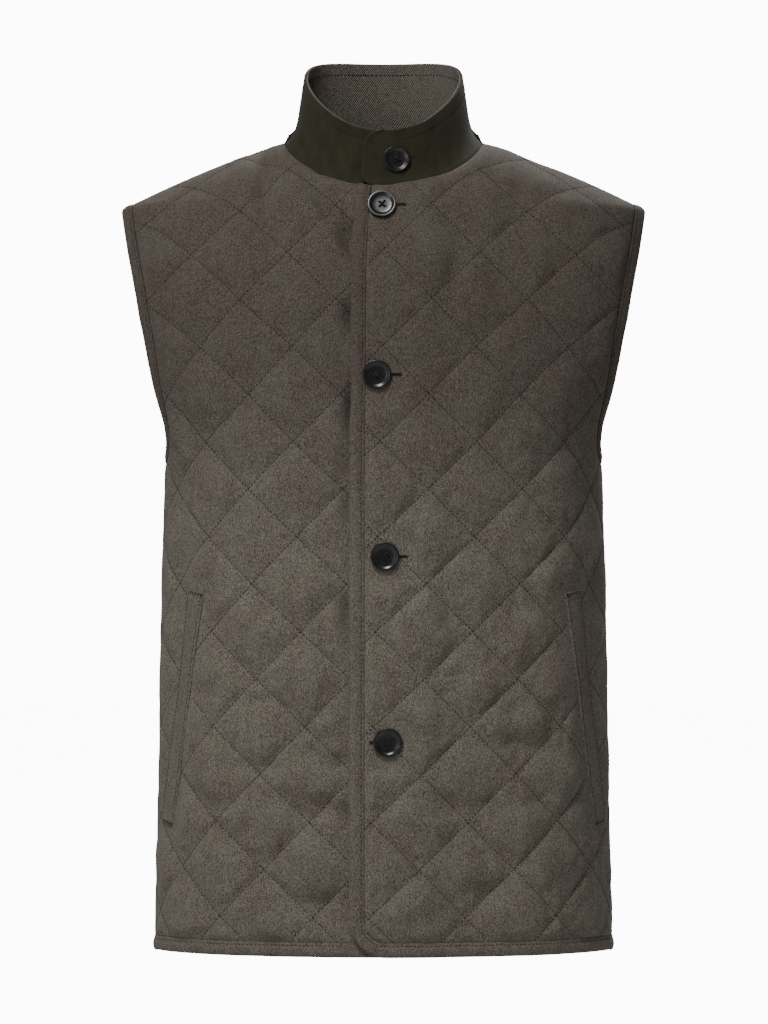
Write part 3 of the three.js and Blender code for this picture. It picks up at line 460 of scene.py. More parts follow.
def armhole_edge(face, inset, steps=150):
    heights = np.array([row[0] for row in ARMHOLE], float)
    angles = np.radians([row[1 if face == "front" else 2] for row in ARMHOLE])
    alongs = along_at(face, angles, heights)
    alongs[0] = form_value(HALF_WIDTH, SHOULDER_TIP)
    drawn = np.vstack((np.stack((alongs, heights), axis=1),
                       (side_length(face, UNDERARM)[0], UNDERARM)))
    places = spline_through(drawn, np.linspace(0, 1, steps + 1) ** 1.3)
    way = np.gradient(places, axis=0)
    way /= np.linalg.norm(way, axis=1)[:, None]
    along = places[:, 0] + way[:, 1] * inset
    near = np.exp((places[:, 1] - shoulder_height(places[:, 0])) / EXTRA_FADE)
    straight = -way[:, 0] * inset
    sloped = shoulder_height(along) - shoulder_height(places[:, 0])
    height = places[:, 1] + straight + (sloped - straight) * near
    height[0] = shoulder_height(along[0])
    along[-1], height[-1] = side_length(face, UNDERARM - inset)[0], UNDERARM - inset
    return np.stack((along, height), axis=1)


def hem_edge(face, start, inset, count=None):
    end = side_length(face, HEM + inset)[0]
    along = np.linspace(start, end, count) if count else steps_between(start, end)
    return chain(along, (hem_height(along) if face == "front" else HEM) + inset)


def lap_edge(lap, height):
    """The button edge, which bears a little towards the centre line below the neck."""
    return -lap + LAP_SHIFT * np.exp((height - NECK_FRONT) / LAP_SHIFT_FADE)


def front_edge(cut, inset, step=FINE_STEP):
    """Down the button edge from the neck, round the corner and along the hem to the seam."""
    lap, corner = cut["lap"], cut["corner"]
    top = neck_height(lap_edge(lap, NECK_FRONT) + inset)
    centre = hem_height(corner - lap) + corner
    down = np.linspace(top, centre, int((BASE_MIDDLE - BASE_TILT - centre) / step))[:-1]
    turn = np.linspace(0, math.pi / 2, int(corner * 1.6 / step) + 2)
    rounding = np.stack((corner - lap - (corner - inset) * np.cos(turn),
                         centre - (corner - inset) * np.sin(turn)), axis=1)
    count = int((side_length("front", HEM)[0] - corner + lap) / step)
    hem = hem_edge("front", corner - lap, inset, count)[1:]
    return np.vstack((chain(lap_edge(lap, down) + inset, down), rounding, hem))


def side_seam(face, bottom, top):
    heights = steps_between(bottom, top)[1:-1]
    return chain(side_length(face, heights), heights)


def shoulder_seam(start):
    along = steps_between(start, NECK_HALF_WIDTH, 1.6)[1:-1]
    return chain(along, shoulder_height(along))


def neck_edge(tilt, last):
    turn = np.arccos(np.clip(last / NECK_HALF_WIDTH, -1, 1))
    angles = np.linspace(0, turn, int(turn / 0.026))
    along = NECK_HALF_WIDTH * np.cos(angles)
    return chain(along, neck_height(along, tilt))


def panel_outline(cut):
    """The stitched edge of a quilted panel, from its lower front or middle round to its neck."""
    inset = BAND + SEAM_GAP
    face = cut["face"]
    armhole = armhole_edge(face, ARMHOLE_BAND + ARMHOLE_GAP)[::-1]
    seam = side_seam(face, HEM + inset, armhole[0, 1])
    shoulder = shoulder_seam(armhole[-1, 0])
    if face == "front":
        start = front_edge(cut, inset)
        neck = neck_edge(-1, start[0, 0])[:-1]
        return np.vstack((start, seam, armhole, shoulder, neck))
    half = np.vstack((hem_edge("back", 0, inset), seam, armhole, shoulder, neck_edge(1, 0)))
    return np.vstack((half, half[1:-1][::-1] * (-1, 1)))


# Quilting

def drifted(cut, along, cloth):
    """Where a place lies across the quilting, whose diamonds lean a little down the cloth."""
    return along + cut["drift"] * np.maximum(0, DRIFT_START - cloth)


def undrifted(cut, across, cloth):
    return across - cut["drift"] * np.maximum(0, DRIFT_START - cloth)


def welt_distance(along, height):
    line = np.subtract(WELT_BOTTOM, WELT_TOP)
    length = math.hypot(*line)
    from_top = along - WELT_TOP[0], height - WELT_TOP[1]
    down = (from_top[0] * line[0] + from_top[1] * line[1]) / length
    across = (from_top[1] * line[0] - from_top[0] * line[1]) / length
    past_end = np.maximum(0, np.maximum(-down, down - length))
    past_side = np.maximum(0, np.maximum(-across, across - WELT_WIDTH))
    return np.hypot(past_end, past_side)


def value_noise(along, height, scale, seed):
    """Smooth random values, about -0.5 to 0.5, that are the same on every run."""
    return np.array([noise.noise((a / scale, h / scale, seed)) for a, h in zip(along, height)])


def pucker(grid_sum, run, seed):
    """Short gathers across one family of seams, which fade out away from the stitches."""
    from_seam = np.abs((grid_sum / 4 + 0.5) % 1 - 0.5) * 4 * CELL_ALONG / math.sqrt(2)
    wave = value_noise(run, grid_sum * 9, PUCKER_PITCH, seed)
    return PUCKER_HEIGHT * wave * from_seam * np.exp(-from_seam / PUCKER_REACH) / PUCKER_FALL


def quilt_height(cut, along, cloth, height, puff):
    """How far each diamond swells, with its uneven filling and the gathers along its seams."""
    grid_x = drifted(cut, along, cloth) / CELL_ALONG
    grid_y = (cloth - LATTICE_HEIGHT) / CELL_DOWN
    rising = np.sin(math.pi * (grid_x + grid_y) / 4)
    falling = np.sin(math.pi * (grid_x - grid_y) / 4)
    raised = puff * np.abs(rising * falling) ** PUFF_FULLNESS
    seamless = np.minimum(1, np.abs(rising * falling) * 3)
    at_chest = smooth_step(PUFF_CHEST_END, PUFF_CHEST_TOP, height)
    raised *= 1 - PUFF_CHEST_LOSS * at_chest
    raised *= 1 + PUFF_VARIETY * value_noise(along, cloth, PUFF_VARIETY_SPREAD, cut["seed"] + 5)
    lively = 1 - SWELL_CHEST_LOSS * at_chest
    swell = value_noise(along, cloth, SWELL_SPREAD, cut["seed"] + 9)
    raised += lively * seamless * SWELL_HEIGHT * swell
    raised += lively * pucker(grid_x + grid_y, (along - cloth) / 1.4, cut["seed"])
    raised += lively * pucker(grid_x - grid_y, (along + cloth) / 1.4, cut["seed"])
    to_side = side_length(cut["face"], height) - np.abs(along)
    raised *= SIDE_PUFF + (1 - SIDE_PUFF) * smooth_step(SIDE_FADE_START, SIDE_FADE, to_side)
    near_shoulder = np.exp((height - shoulder_height(along)) / EXTRA_FADE)
    raised = np.maximum(0, raised) * (1 - PUFF_SHOULDER_LOSS * near_shoulder)
    if cut["welt"]:
        clear = smooth_step(0, WELT_FADE, welt_distance(along, height))
        raised *= WELT_FLATNESS + (1 - WELT_FLATNESS) * clear
    for _, across, level in cut["buttons"]:
        away = np.hypot(along - across, height - level)
        raised *= smooth_step(BUTTON_FLAT, BUTTON_FLAT_FADE, away)
    if cut["covered_to"] is not None:
        raised *= smooth_step(cut["covered_to"], cut["covered_to"] + COVER_FADE, along)
    return raised


def fold_depth(cut, along, height):
    """The sum of the panel's folds. They fade out well under the overlapping front."""
    depth = np.zeros_like(along)
    for middle, level, length, width, lean, deep in FOLDS[cut["name"]]:
        down = (height - level) / length
        across = (along - middle - lean * (height - level)) / width
        depth += deep * np.exp(-down * down - across * across)
    if cut["covered_to"] is not None:
        edge = cut["covered_to"]
        return depth * smooth_step(edge + HOLLOW_START, edge + HOLLOW_FULL, along)
    return depth


def lap_lift(along):
    """How far the overlapping front stands off, so that it clears the one below it."""
    return LAP_LIFT * (1 - smooth_step(LAP_FADE_START, LAP_FADE_END, along))


def panel_point(cut, along, height, out, overlap=SEAM_OVERLAP):
    """Places on a panel, with its folds, its lap and its side of the body."""
    along = np.asarray(along, float)
    height = np.broadcast_to(np.asarray(height, float), along.shape)
    base = lap_lift(along) * cut["lifted"] + fold_depth(cut, along, height)
    return form_point(cut["face"], along, height, base + out, overlap) * (cut["mirror"], 1, 1)


# Meshes

def add_mesh(name, points, faces, cut_places, materials, nodes=(), material_of=None):
    """A closed sheet of cloth in metres, with its cut's own places as its UV map."""
    mesh = bpy.data.meshes.new(name)
    mesh.from_pydata((np.asarray(points) * MM).tolist(), [], faces)
    mesh.polygons.foreach_set("use_smooth", [True] * len(mesh.polygons))
    if cut_places is not None:
        corners = np.empty(len(mesh.loops), int)
        mesh.loops.foreach_get("vertex_index", corners)
        layer = mesh.uv_layers.new(name="cut")
        layer.data.foreach_set("uv", (np.asarray(cut_places)[corners] * MM).ravel())
    piece = bpy.data.objects.new(name, mesh)
    bpy.context.scene.collection.objects.link(piece)
    for material in materials:
        mesh.materials.append(material)
    if material_of is not None:
        mesh.polygons.foreach_set("material_index", material_of)
    mesh.update()
    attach(piece, BODY)
    if nodes:
        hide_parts(*nodes)
    return piece


def outward(points, faces):
    """The faces, all turned over if they point inwards."""
    a, b, c = (points[np.array([face[k] for face in faces])] for k in range(3))
    volume = np.einsum("ij,ij->i", a, np.cross(b, c)).sum()
    for face in faces:
        if len(face) == 4:
            p, q, r = points[face[0]], points[face[2]], points[face[3]]
            volume += float(np.dot(p, np.cross(q, r)))
    return faces if volume > 0 else [tuple(reversed(face)) for face in faces]


def inside(points, outline):
    """Which points lie inside a closed outline."""
    result = np.zeros(len(points), bool)
    ends = np.roll(outline, -1, axis=0)
    for (ax, ay), (bx, by) in zip(outline, ends):
        if ay == by:
            continue
        crosses = (ay > points[:, 1]) != (by > points[:, 1])
        result ^= crosses & (points[:, 0] < (bx - ax) * (points[:, 1] - ay) / (by - ay) + ax)
    return result


def boundary_loop(faces):
    """The edges that only one face has, each in that face's direction."""
    used = {}
    for face in faces:
        for k, start in enumerate(face):
            end = face[(k + 1) % len(face)]
            if used.pop((end, start), None) is None:
                used[(start, end)] = True
    return list(used)


def edge_tree(outline, step=0.8):
    closed = spaced(np.vstack((outline, outline[:1])), step)
    tree = kdtree.KDTree(len(closed))
    for index, (x, y) in enumerate(closed):
        tree.insert((x, y, 0), index)
    tree.balance()
    return tree


def distances(tree, points):
    return np.array([tree.find((x, y, 0))[2] for x, y in points])


def wall_out(cut, tree, along, cloth, height, puff):
    """How far the outer cloth stands off the form, with its edges rolled into their seams."""
    gone = distances(tree, np.stack((drifted(cut, along, cloth), cloth), axis=1))
    raised = quilt_height(cut, along, cloth, height, puff) * smooth_step(0, SEAM_REACH, gone)
    rolled = EDGE_ROLL * np.exp(-(gone / EDGE_ROLL_WIDTH) ** 2)
    at_neck = smooth_step(*np.add(NECK_HALF_WIDTH, NECK_SIDE_FADE), np.abs(along))
    at_neck *= smooth_step(*np.add(NECK_FRONT, NECK_FRONT_FADE), height)
    neck = NECK_ROLL * np.exp(-(gone / NECK_ROLL_WIDTH) ** 2)
    return WALL + raised - rolled * (1 - at_neck) - neck * at_neck


def panel_domain(cut):
    """The panel's outline and quilting lattice, laid flat: across the grain, and down the cloth."""
    outline = panel_outline(cut)
    cloth = cloth_height(cut["face"], outline[:, 0], outline[:, 1])
    flat = np.stack((drifted(cut, outline[:, 0], cloth), cloth), axis=1)
    return flat, edge_tree(flat)


def quilted_panel(cut, settings, materials):
    flat, tree = panel_domain(cut)
    low, high = flat.min(axis=0), flat.max(axis=0)
    cells = LATTICE_STEPS / 2
    reach = int(max(np.abs(low).max(), np.abs(high).max()) / CELL_DOWN * cells * 2) + 4
    first, second = np.meshgrid(np.arange(-reach, reach), np.arange(-reach, reach))
    lattice = np.stack(((first + second).ravel() / cells * CELL_ALONG,
                        (first - second).ravel() / cells * CELL_DOWN + LATTICE_HEIGHT), axis=1)
    lattice = lattice[((lattice > low) & (lattice < high)).all(axis=1)]
    lattice = lattice[inside(lattice, flat)]
    lattice = lattice[distances(tree, lattice) > CLEAR_OF_EDGE]
    corners = [Vector(place) for place in np.vstack((flat, lattice))]
    found = delaunay_2d_cdt(corners, [], [list(range(len(flat)))], 1, 1e-4)
    places = np.array([tuple(place) for place in found[0]])
    faces = [tuple(face) for face in found[2]]
    along, cloth = undrifted(cut, places[:, 0], places[:, 1]), places[:, 1]
    height = garment_height(cut["face"], along, cloth)
    out = wall_out(cut, tree, along, cloth, height, settings.puff_height / MM)
    outer = panel_point(cut, along, height, out)
    inner = panel_point(cut, along, height, 0)
    count = len(places)
    rim = [(end, start, start + count, end + count) for start, end in boundary_loop(faces)]
    under = [tuple(index + count for index in reversed(face)) for face in faces]
    points = np.vstack((outer, inner))
    whole = outward(points, faces + under + rim)
    lining = [0] * len(faces) + [1] * len(under) + [0] * len(rim)
    flat_places = np.stack((along * cut["mirror"], cloth), axis=1)
    piece = add_mesh(f"{cut['name']}_cloth", points, whole, np.vstack((flat_places, flat_places)),
                     materials, (cut["name"],), lining)
    return piece


# Bindings, welts and collar

def tube_faces(count, size, looped=False):
    """Faces through a row of closed sections, with a cap at both ends unless it is a loop."""
    faces = []
    for span in range(count if looped else count - 1):
        after = (span + 1) % count
        for side in range(size):
            other = (side + 1) % size
            faces.append((span * size + side, span * size + other,
                          after * size + other, after * size + side))
    if not looped:
        faces.append(tuple(range(size - 1, -1, -1)))
        faces.append(tuple(range((count - 1) * size, count * size)))
    return faces


def strip_mesh(name, sections, looped, material, nodes):
    """A strip of cloth through closed sections, joined into a loop or capped at its ends."""
    faces = tube_faces(*sections.shape[:2], looped)
    points = sections.reshape(-1, 3)
    run = run_of(sections.mean(axis=1))
    sides = np.linalg.norm(np.roll(sections, -1, axis=1) - sections, axis=2)
    girth = np.median(sides, axis=0)
    round_it = np.concatenate(([0], np.cumsum(girth)[:-1]))
    places = np.stack(np.meshgrid(round_it, run), axis=2).reshape(-1, 2)
    piece = add_mesh(name, points, turned_out(sections, faces), places, [material], nodes)
    return piece


def turned_out(sections, faces):
    """The strip's faces, turned over if the first section runs the other way round."""
    ring, following = sections[0], sections[1]
    way = following.mean(axis=0) - ring.mean(axis=0)
    spread = np.cross(ring - ring.mean(axis=0), np.roll(ring, -1, axis=0) - ring.mean(axis=0))
    return faces if np.dot(spread.sum(axis=0), way) < 0 else [tuple(reversed(f)) for f in faces]


def band_sections(cut, cut_edge, stitched_edge, relief=1.0, overlap=SEAM_OVERLAP):
    rows = []
    for across, out in BAND_SECTION:
        place = cut_edge + (stitched_edge - cut_edge) * across
        lowered = out if out < BAND_FLAT else BAND_FLAT + (out - BAND_FLAT) * relief
        outs = np.full(len(place), lowered)
        if cut["covered_to"] is not None:
            outs = np.where(place[:, 0] < cut["covered_to"] + 2, np.minimum(out, WALL), outs)
        if out > BAND_WAVE_FROM:
            outs = outs + BAND_WAVE * value_noise(place[:, 0], place[:, 1], BAND_WAVE_SPREAD,
                                                  40.0 + len(cut["name"]))
        rows.append(panel_point(cut, place[:, 0], place[:, 1], outs, overlap))
    return np.stack(rows, axis=1)


def below_collar(edge):
    """The edge's first places drop, so that the band starts under the collar."""
    run = edge[0, 1] - edge[:, 1]
    return edge - np.stack((np.zeros(len(edge)), COLLAR_DROP * np.exp(-run / COLLAR_DROP_FADE)),
                           axis=1)


def edge_binding(name, cut, material):
    sections = band_sections(cut, below_collar(front_edge(cut, 0)),
                             below_collar(front_edge(cut, BAND)))
    return strip_mesh(f"{name}_cloth", sections, False, material, (name,))


def back_hem_edge(inset):
    half = hem_edge("back", 0, inset, 125)
    return np.vstack((half[1:][::-1] * (-1, 1), half))


def back_hem_binding(material):
    sections = band_sections(BACK, back_hem_edge(0), back_hem_edge(BAND))
    return strip_mesh("hem_binding_back_cloth", sections, False, material,
                      ("hem_binding_back",))


def armhole_cut(face, mirror):
    """The cut of half an armhole's binding, which has no folds of its own."""
    return {**BACK, "name": "binding", "face": face, "mirror": mirror}


def armhole_binding(side, mirror, material):
    """One closed loop: down the front of the armhole and up its back."""
    front, back = (band_sections(armhole_cut(face, mirror), armhole_edge(face, 0),
                                 armhole_edge(face, ARMHOLE_BAND), ARMHOLE_RELIEF, 0)
                   for face in ("front", "back"))
    name = f"armhole_binding_{side}"
    return strip_mesh(f"{name}_cloth", np.concatenate((front, back[::-1][1:-1])), True, material,
                      (name,))


# A welt in section: across it, and out from where it lies
WELT_SECTION = (
    (0, -0.8), (-0.01, 0.2), (0, 1.1), (0.025, 1.75), (0.07, 2.05), (0.115, 1.85), (0.16, 2.1),
    (0.3, 2.4), (0.5, 2.5), (0.7, 2.4), (0.84, 2.1), (0.885, 1.85), (0.93, 2.05), (0.975, 1.75),
    (1, 1.1), (1.01, 0.2), (1, -0.8), (0.5, -0.8),
)
WELT_END_ROUNDING = (0.35, 0.75, 0.95)
WELT_ROWS = (0.115, 0.885)
TACK_ROWS = (0.006, 0.012, 0.988, 0.994)


def welt_place(down, across):
    """A place on the welt, from its top and from its opening edge, each as a share."""
    top, bottom = np.array(WELT_TOP, float), np.array(WELT_BOTTOM, float)
    line = top + (bottom - top) * np.asarray(down, float)[:, None]
    across = np.broadcast_to(np.asarray(across, float), line[:, 0].shape)
    return line[:, 0] + WELT_WIDTH * across, line[:, 1] - WELT_END_DROP * across


def pocket_welt(name, cut, material):
    ends = np.array([0, 0.0025, 0.006, 0.011])
    downs = np.concatenate((ends, np.linspace(0.02, 0.98, 80), 1 - ends[::-1]))
    rounding = np.ones(len(downs))
    rounding[:3] = WELT_END_ROUNDING
    rounding[-3:] = WELT_END_ROUNDING[::-1]
    rows = []
    for across, out in WELT_SECTION:
        along, height = welt_place(downs, across)
        outs = WELT_OUT + np.where(out > 0.2, WELT_RELIEF * out * rounding, out)
        rows.append(panel_point(cut, along, height, outs))
    sections = np.stack(rows, axis=1)
    return strip_mesh(f"{name}_cloth", sections, False, material, (name,))


def collar_skin(turn, share, inwards):
    """Places on the collar. A turn of 0 is the centre back, and half a turn the centre front."""
    turn, share = np.broadcast_arrays(np.asarray(turn, float), np.asarray(share, float))
    side = np.where(turn < 0, -1, 1)
    from_front = math.pi - np.abs(turn)
    sine, cosine = np.sin(from_front), np.cos(from_front)
    along = NECK_HALF_WIDTH * np.abs(sine)
    ahead = cosine > 0
    lift = np.where((side > 0) & ahead, lap_lift(along), 0)
    crossed = np.where(sine < 0, -1, 1)
    front = form_point("front", along, neck_height(along), lift)
    back = form_point("back", along, neck_height(along, 1), lift)
    base = np.where(ahead[:, None], front, back)
    base[:, 0] = side * crossed * (base[:, 0] - SEAM_GAP * np.abs(sine))
    base[:, 2] += SEAM_GAP * np.maximum(np.abs(cosine), 0.6) + 0.1
    outwards = np.stack((side * sine, -cosine, np.zeros_like(sine)), axis=1)
    rim_depth = np.where(ahead, -RIM_FRONT, RIM_BACK)
    rim = np.stack((side * RIM_HALF_WIDTH * sine, -rim_depth * cosine,
                    RIM_MIDDLE - RIM_TILT * cosine + RIM_SIDE_LIFT * sine * sine), axis=1)
    rim += outwards * lift[:, None]
    raised = np.maximum(0, share)
    lean = (1 - FLARE_SHARE) * raised + FLARE_SHARE * (1 - (1 - raised) ** FLARE_POWER)
    place = base + (rim - base) * np.stack((lean, lean, share), axis=1)
    return place - outwards * np.broadcast_to(inwards, turn.shape)[:, None]


# How far in from the collar's edge its first rows lie
EDGE_ROWS = (0, 0.3, 0.8, 1.6, 2.8, 4.2)


def corner_cut(share):
    """How far the collar's end is cut back at a share of its height, by its two corners."""
    def cut(radius, away):
        return 0 if away >= radius else radius - math.sqrt(radius**2 - (radius - away) ** 2)
    return (cut(UPPER_CORNER, (1 - share) * COLLAR_HEIGHT)
            + cut(LOWER_CORNER, share * COLLAR_HEIGHT) + TAB_SLANT * share)


def collar_ends(share, inset=0):
    """The turns at which the under end and the over end lie, at a share of the height."""
    cut = corner_cut(share) + inset
    radius = RIM_HALF_WIDTH + (NECK_HALF_WIDTH - RIM_HALF_WIDTH) * (1 - share)
    return (-math.pi - math.asin((UNDER_END - cut) / radius),
            math.pi + math.asin((OVER_END - cut) / radius))


def crowded(length, step):
    """Shares of a length that crowd towards both ends, for a rounded edge."""
    near = np.array(EDGE_ROWS[:-1]) / length
    inset = EDGE_ROWS[-1]
    middle = np.linspace(inset / length, 1 - inset / length, int((length - 2 * inset) / step) + 2)
    return np.concatenate((near, middle, 1 - near[::-1]))


def shell_relief(from_edge, to_tab):
    """The outer cloth's groove beside its edge, and the tab's stand-off with its ridged end."""
    groove = 0.35 * np.exp(-((from_edge - COLLAR_STITCH) / 0.9) ** 2)
    ridge = TAB_RIDGE * np.exp(-((to_tab - 1.6) / 1.5) ** 2)
    return groove - TAB_STANDOFF * (1 - smooth_step(14, 32, to_tab)) - ridge


def collar_wall(name, start, end, material, nodes, roll, tuck=0):
    """One layer of the collar between two depths, with rolled edges and a tucked lower edge."""
    shares = crowded(COLLAR_HEIGHT, FINE_STEP)
    shares = shares - tuck * (1 - shares) ** 3
    length = math.pi * 2 * COLLAR_RADIUS
    columns = crowded(length, FINE_STEP)
    middle, half = (start + end) / 2, (end - start) / 2
    skins = {-1: [], 1: []}
    places = []
    for share in shares:
        low, high = collar_ends(max(0, share))
        turns = low + (high - low) * columns
        from_rim = min(share - shares[0], 1 - share) * COLLAR_HEIGHT
        from_edge = np.minimum(from_rim, np.minimum(columns, 1 - columns) * length)
        rounding = np.sqrt(1 - (1 - np.minimum(1, from_edge / roll)) ** 2)
        rounding = np.maximum(0.2, rounding)
        rows_at = np.full(len(turns), share * COLLAR_HEIGHT)
        soft = 0.5 * value_noise(turns * COLLAR_RADIUS, rows_at, 30, 51.0)
        soft *= smooth_step(1, 8, from_edge)
        shift = shell_relief(from_edge, (1 - columns) * length) if start == 0 else 0
        for side in skins:
            skins[side].append(collar_skin(turns, np.full(len(turns), share),
                                           middle + side * half * rounding
                                           + (shift if side < 0 else 0) + soft))
        places.append(np.stack((turns * COLLAR_RADIUS, rows_at), axis=1))
    rows, width = len(shares), len(columns)
    outer, inner = (np.concatenate(skins[side]) for side in (-1, 1))
    count = rows * width
    faces = []
    for row in range(rows - 1):
        for column in range(width - 1):
            a = row * width + column
            quad = (a, a + 1, a + width + 1, a + width)
            faces.append(quad)
            faces.append(tuple(index + count for index in reversed(quad)))
    rim = list(range(width)) + [r * width + width - 1 for r in range(1, rows)]
    rim += [(rows - 1) * width + c for c in range(width - 2, -1, -1)]
    rim += [r * width for r in range(rows - 2, 0, -1)]
    for here, after in zip(rim, rim[1:] + rim[:1]):
        faces.append((after, here, here + count, after + count))
    points = np.vstack((outer, inner))
    flat = np.concatenate(places)
    piece = add_mesh(name, points, outward(points, faces), np.vstack((flat, flat)), [material],
                     nodes)
    return piece


# Sewing

def along_line(points, normals, pitch):
    """Places and normals evenly spaced along a sewn line."""
    lengths = run_of(points)
    wanted = np.arange(0, lengths[-1], pitch)
    return at_lengths(points, lengths, wanted), at_lengths(normals, lengths, wanted)


STITCH_RINGS = ((-0.02, 0.45, -0.75), (0.22, 1.0, 0.12), (0.78, 1.0, 0.12), (1.02, 0.45, -0.75))
STITCH_SIDES = 4


def stitches(starts, ends, normals, radius):
    """One small swollen thread for each stitch, whose ends dip into the cloth."""
    way = ends - starts
    length = np.linalg.norm(way, axis=1)[:, None]
    way = way / length
    side = np.cross(way, normals)
    side /= np.linalg.norm(side, axis=1)[:, None]
    up = np.cross(side, way)
    rings = []
    for share, girth, lift in STITCH_RINGS:
        middle = starts + way * length * share + up * lift * radius
        for k in range(STITCH_SIDES):
            angle = 2 * math.pi * (k + 0.5) / STITCH_SIDES
            rings.append(middle + (side * math.cos(angle) + up * math.sin(angle)) * girth * radius)
    points = np.stack(rings, axis=1).reshape(-1, 3)
    size = len(STITCH_RINGS) * STITCH_SIDES
    pattern = tube_faces(len(STITCH_RINGS), STITCH_SIDES)
    faces = [tuple(index + base for index in face)
             for base in range(0, len(points), size) for face in pattern]
    return points, faces


def sew(name, lines, settings, material, radius_share=1.0):
    """Joins every sewn line, each as points and normals, into one piece of thread."""
    pitch = (settings.stitch_length + settings.stitch_gap) / MM
    part = settings.stitch_length / MM / pitch
    starts, ends, normals = [], [], []
    for points, ups in lines:
        if len(points) < 2:
            continue
        places, upwards = along_line(points, ups, pitch)
        if len(places) < 2:
            continue
        starts.append(places[:-1])
        ends.append(places[:-1] + (places[1:] - places[:-1]) * part)
        normals.append(upwards[:-1])
    radius = settings.thread_width / MM / 2 * radius_share
    points, faces = stitches(np.concatenate(starts), np.concatenate(ends),
                             np.concatenate(normals), radius)
    return add_mesh(name, points, faces, None, [material])


def sewn_line(cut, along, height, out):
    points = panel_point(cut, along, height, out)
    normals = panel_point(cut, along, height, np.asarray(out) + 1) - points
    return points, normals


def runs_of(mask):
    """Start and end of each unbroken run of true values."""
    edges = np.flatnonzero(np.diff(np.concatenate(([0], mask.astype(int), [0]))))
    return zip(edges[::2], edges[1::2])


def quilting_lines(cut, settings):
    """Both families of slanting rows, broken where a binding, a welt or the lap hides them."""
    flat, tree = panel_domain(cut)
    low = (flat.min(axis=0) - (0, LATTICE_HEIGHT)) / (CELL_ALONG, CELL_DOWN)
    high = (flat.max(axis=0) - (0, LATTICE_HEIGHT)) / (CELL_ALONG, CELL_DOWN)
    down = np.arange(low[1], high[1], ROW_STEP)
    lines = []
    for slope in (1, -1):
        sums = [low[0] + slope * low[1], low[0] + slope * high[1], high[0] + slope * low[1],
                high[0] + slope * high[1]]
        for line in range(math.ceil(min(sums) / 4), math.floor(max(sums) / 4) + 1):
            places = np.stack(((4 * line - slope * down) * CELL_ALONG,
                               down * CELL_DOWN + LATTICE_HEIGHT), axis=1)
            keep = ((places > flat.min(axis=0)) & (places < flat.max(axis=0))).all(axis=1)
            keep &= inside(places, flat)
            along = undrifted(cut, places[:, 0], places[:, 1])
            height = garment_height(cut["face"], along, places[:, 1])
            if cut["covered_to"] is not None:
                keep &= along > cut["covered_to"] - 4
            if cut["welt"]:
                keep &= welt_distance(along, height) > 0.3
            for start, end in runs_of(keep):
                if end - start < SHORTEST_ROW:
                    continue
                part = slice(start, end)
                out = wall_out(cut, tree, along[part], places[part, 1], height[part],
                               settings.puff_height / MM)
                lines.append(sewn_line(cut, along[part], height[part], out + ROW_LIFT))
    return lines


def band_lines():
    """Sewn lines beside the inner edge of every bound edge, over the binding."""
    lines = []
    for cut in (FRONT_LEFT, FRONT_RIGHT):
        edge = front_edge(cut, BAND * BAND_STITCH)
        out = np.full(len(edge), BAND_STITCH_OUT)
        if cut["covered_to"] is not None:
            keep = edge[:, 0] > cut["covered_to"] + 3
            edge, out = edge[keep], out[keep]
        lines.append(sewn_line(cut, edge[:, 0], edge[:, 1], out))
    hem = back_hem_edge(BAND * BAND_STITCH)
    lines.append(sewn_line(BACK, hem[:, 0], hem[:, 1], np.full(len(hem), BAND_STITCH_OUT)))
    for mirror in (1, -1):
        for face in ("front", "back"):
            edge = armhole_edge(face, ARMHOLE_BAND * BAND_STITCH)
            lines.append(sewn_line(armhole_cut(face, mirror), edge[:, 0], edge[:, 1],
                                   np.full(len(edge), ARMHOLE_STITCH_OUT)))
    return lines


def welt_lines():
    """The two long rows down each welt, beside its edges."""
    lines = []
    for cut in (FRONT_LEFT, FRONT_RIGHT):
        for across in WELT_ROWS:
            along, height = welt_place(np.linspace(0.012, 0.988, 90), across)
            lines.append(sewn_line(cut, along, height, WELT_OUT + WELT_RELIEF * 1.9))
    return lines


def welt_tacks():
    """The heavy rows of stitches across both ends of each pocket."""
    lines = []
    for cut in (FRONT_LEFT, FRONT_RIGHT):
        for down in TACK_ROWS:
            places = [welt_place([down], across) for across in np.linspace(0.04, 0.96, 14)]
            along, height = (np.concatenate([place[k] for place in places]) for k in (0, 1))
            lines.append(sewn_line(cut, along, height, WELT_OUT + WELT_RELIEF * 2.4))
    return lines


def collar_line(turns, shares, inwards):
    points = collar_skin(turns, shares, inwards)
    across = np.gradient(points, axis=0)
    up = collar_skin(turns, shares + 0.02, inwards) - points
    normals = np.cross(up, across) if turns[-1] < turns[0] else np.cross(across, up)
    normals /= np.linalg.norm(normals, axis=1)[:, None]
    outwards = np.stack((np.sin(math.pi - np.abs(turns)) * np.sign(turns),
                         -np.cos(math.pi - np.abs(turns)), np.zeros(len(turns))), axis=1)
    facing = np.sign((normals * outwards).sum(axis=1))[:, None]
    return points, normals * facing


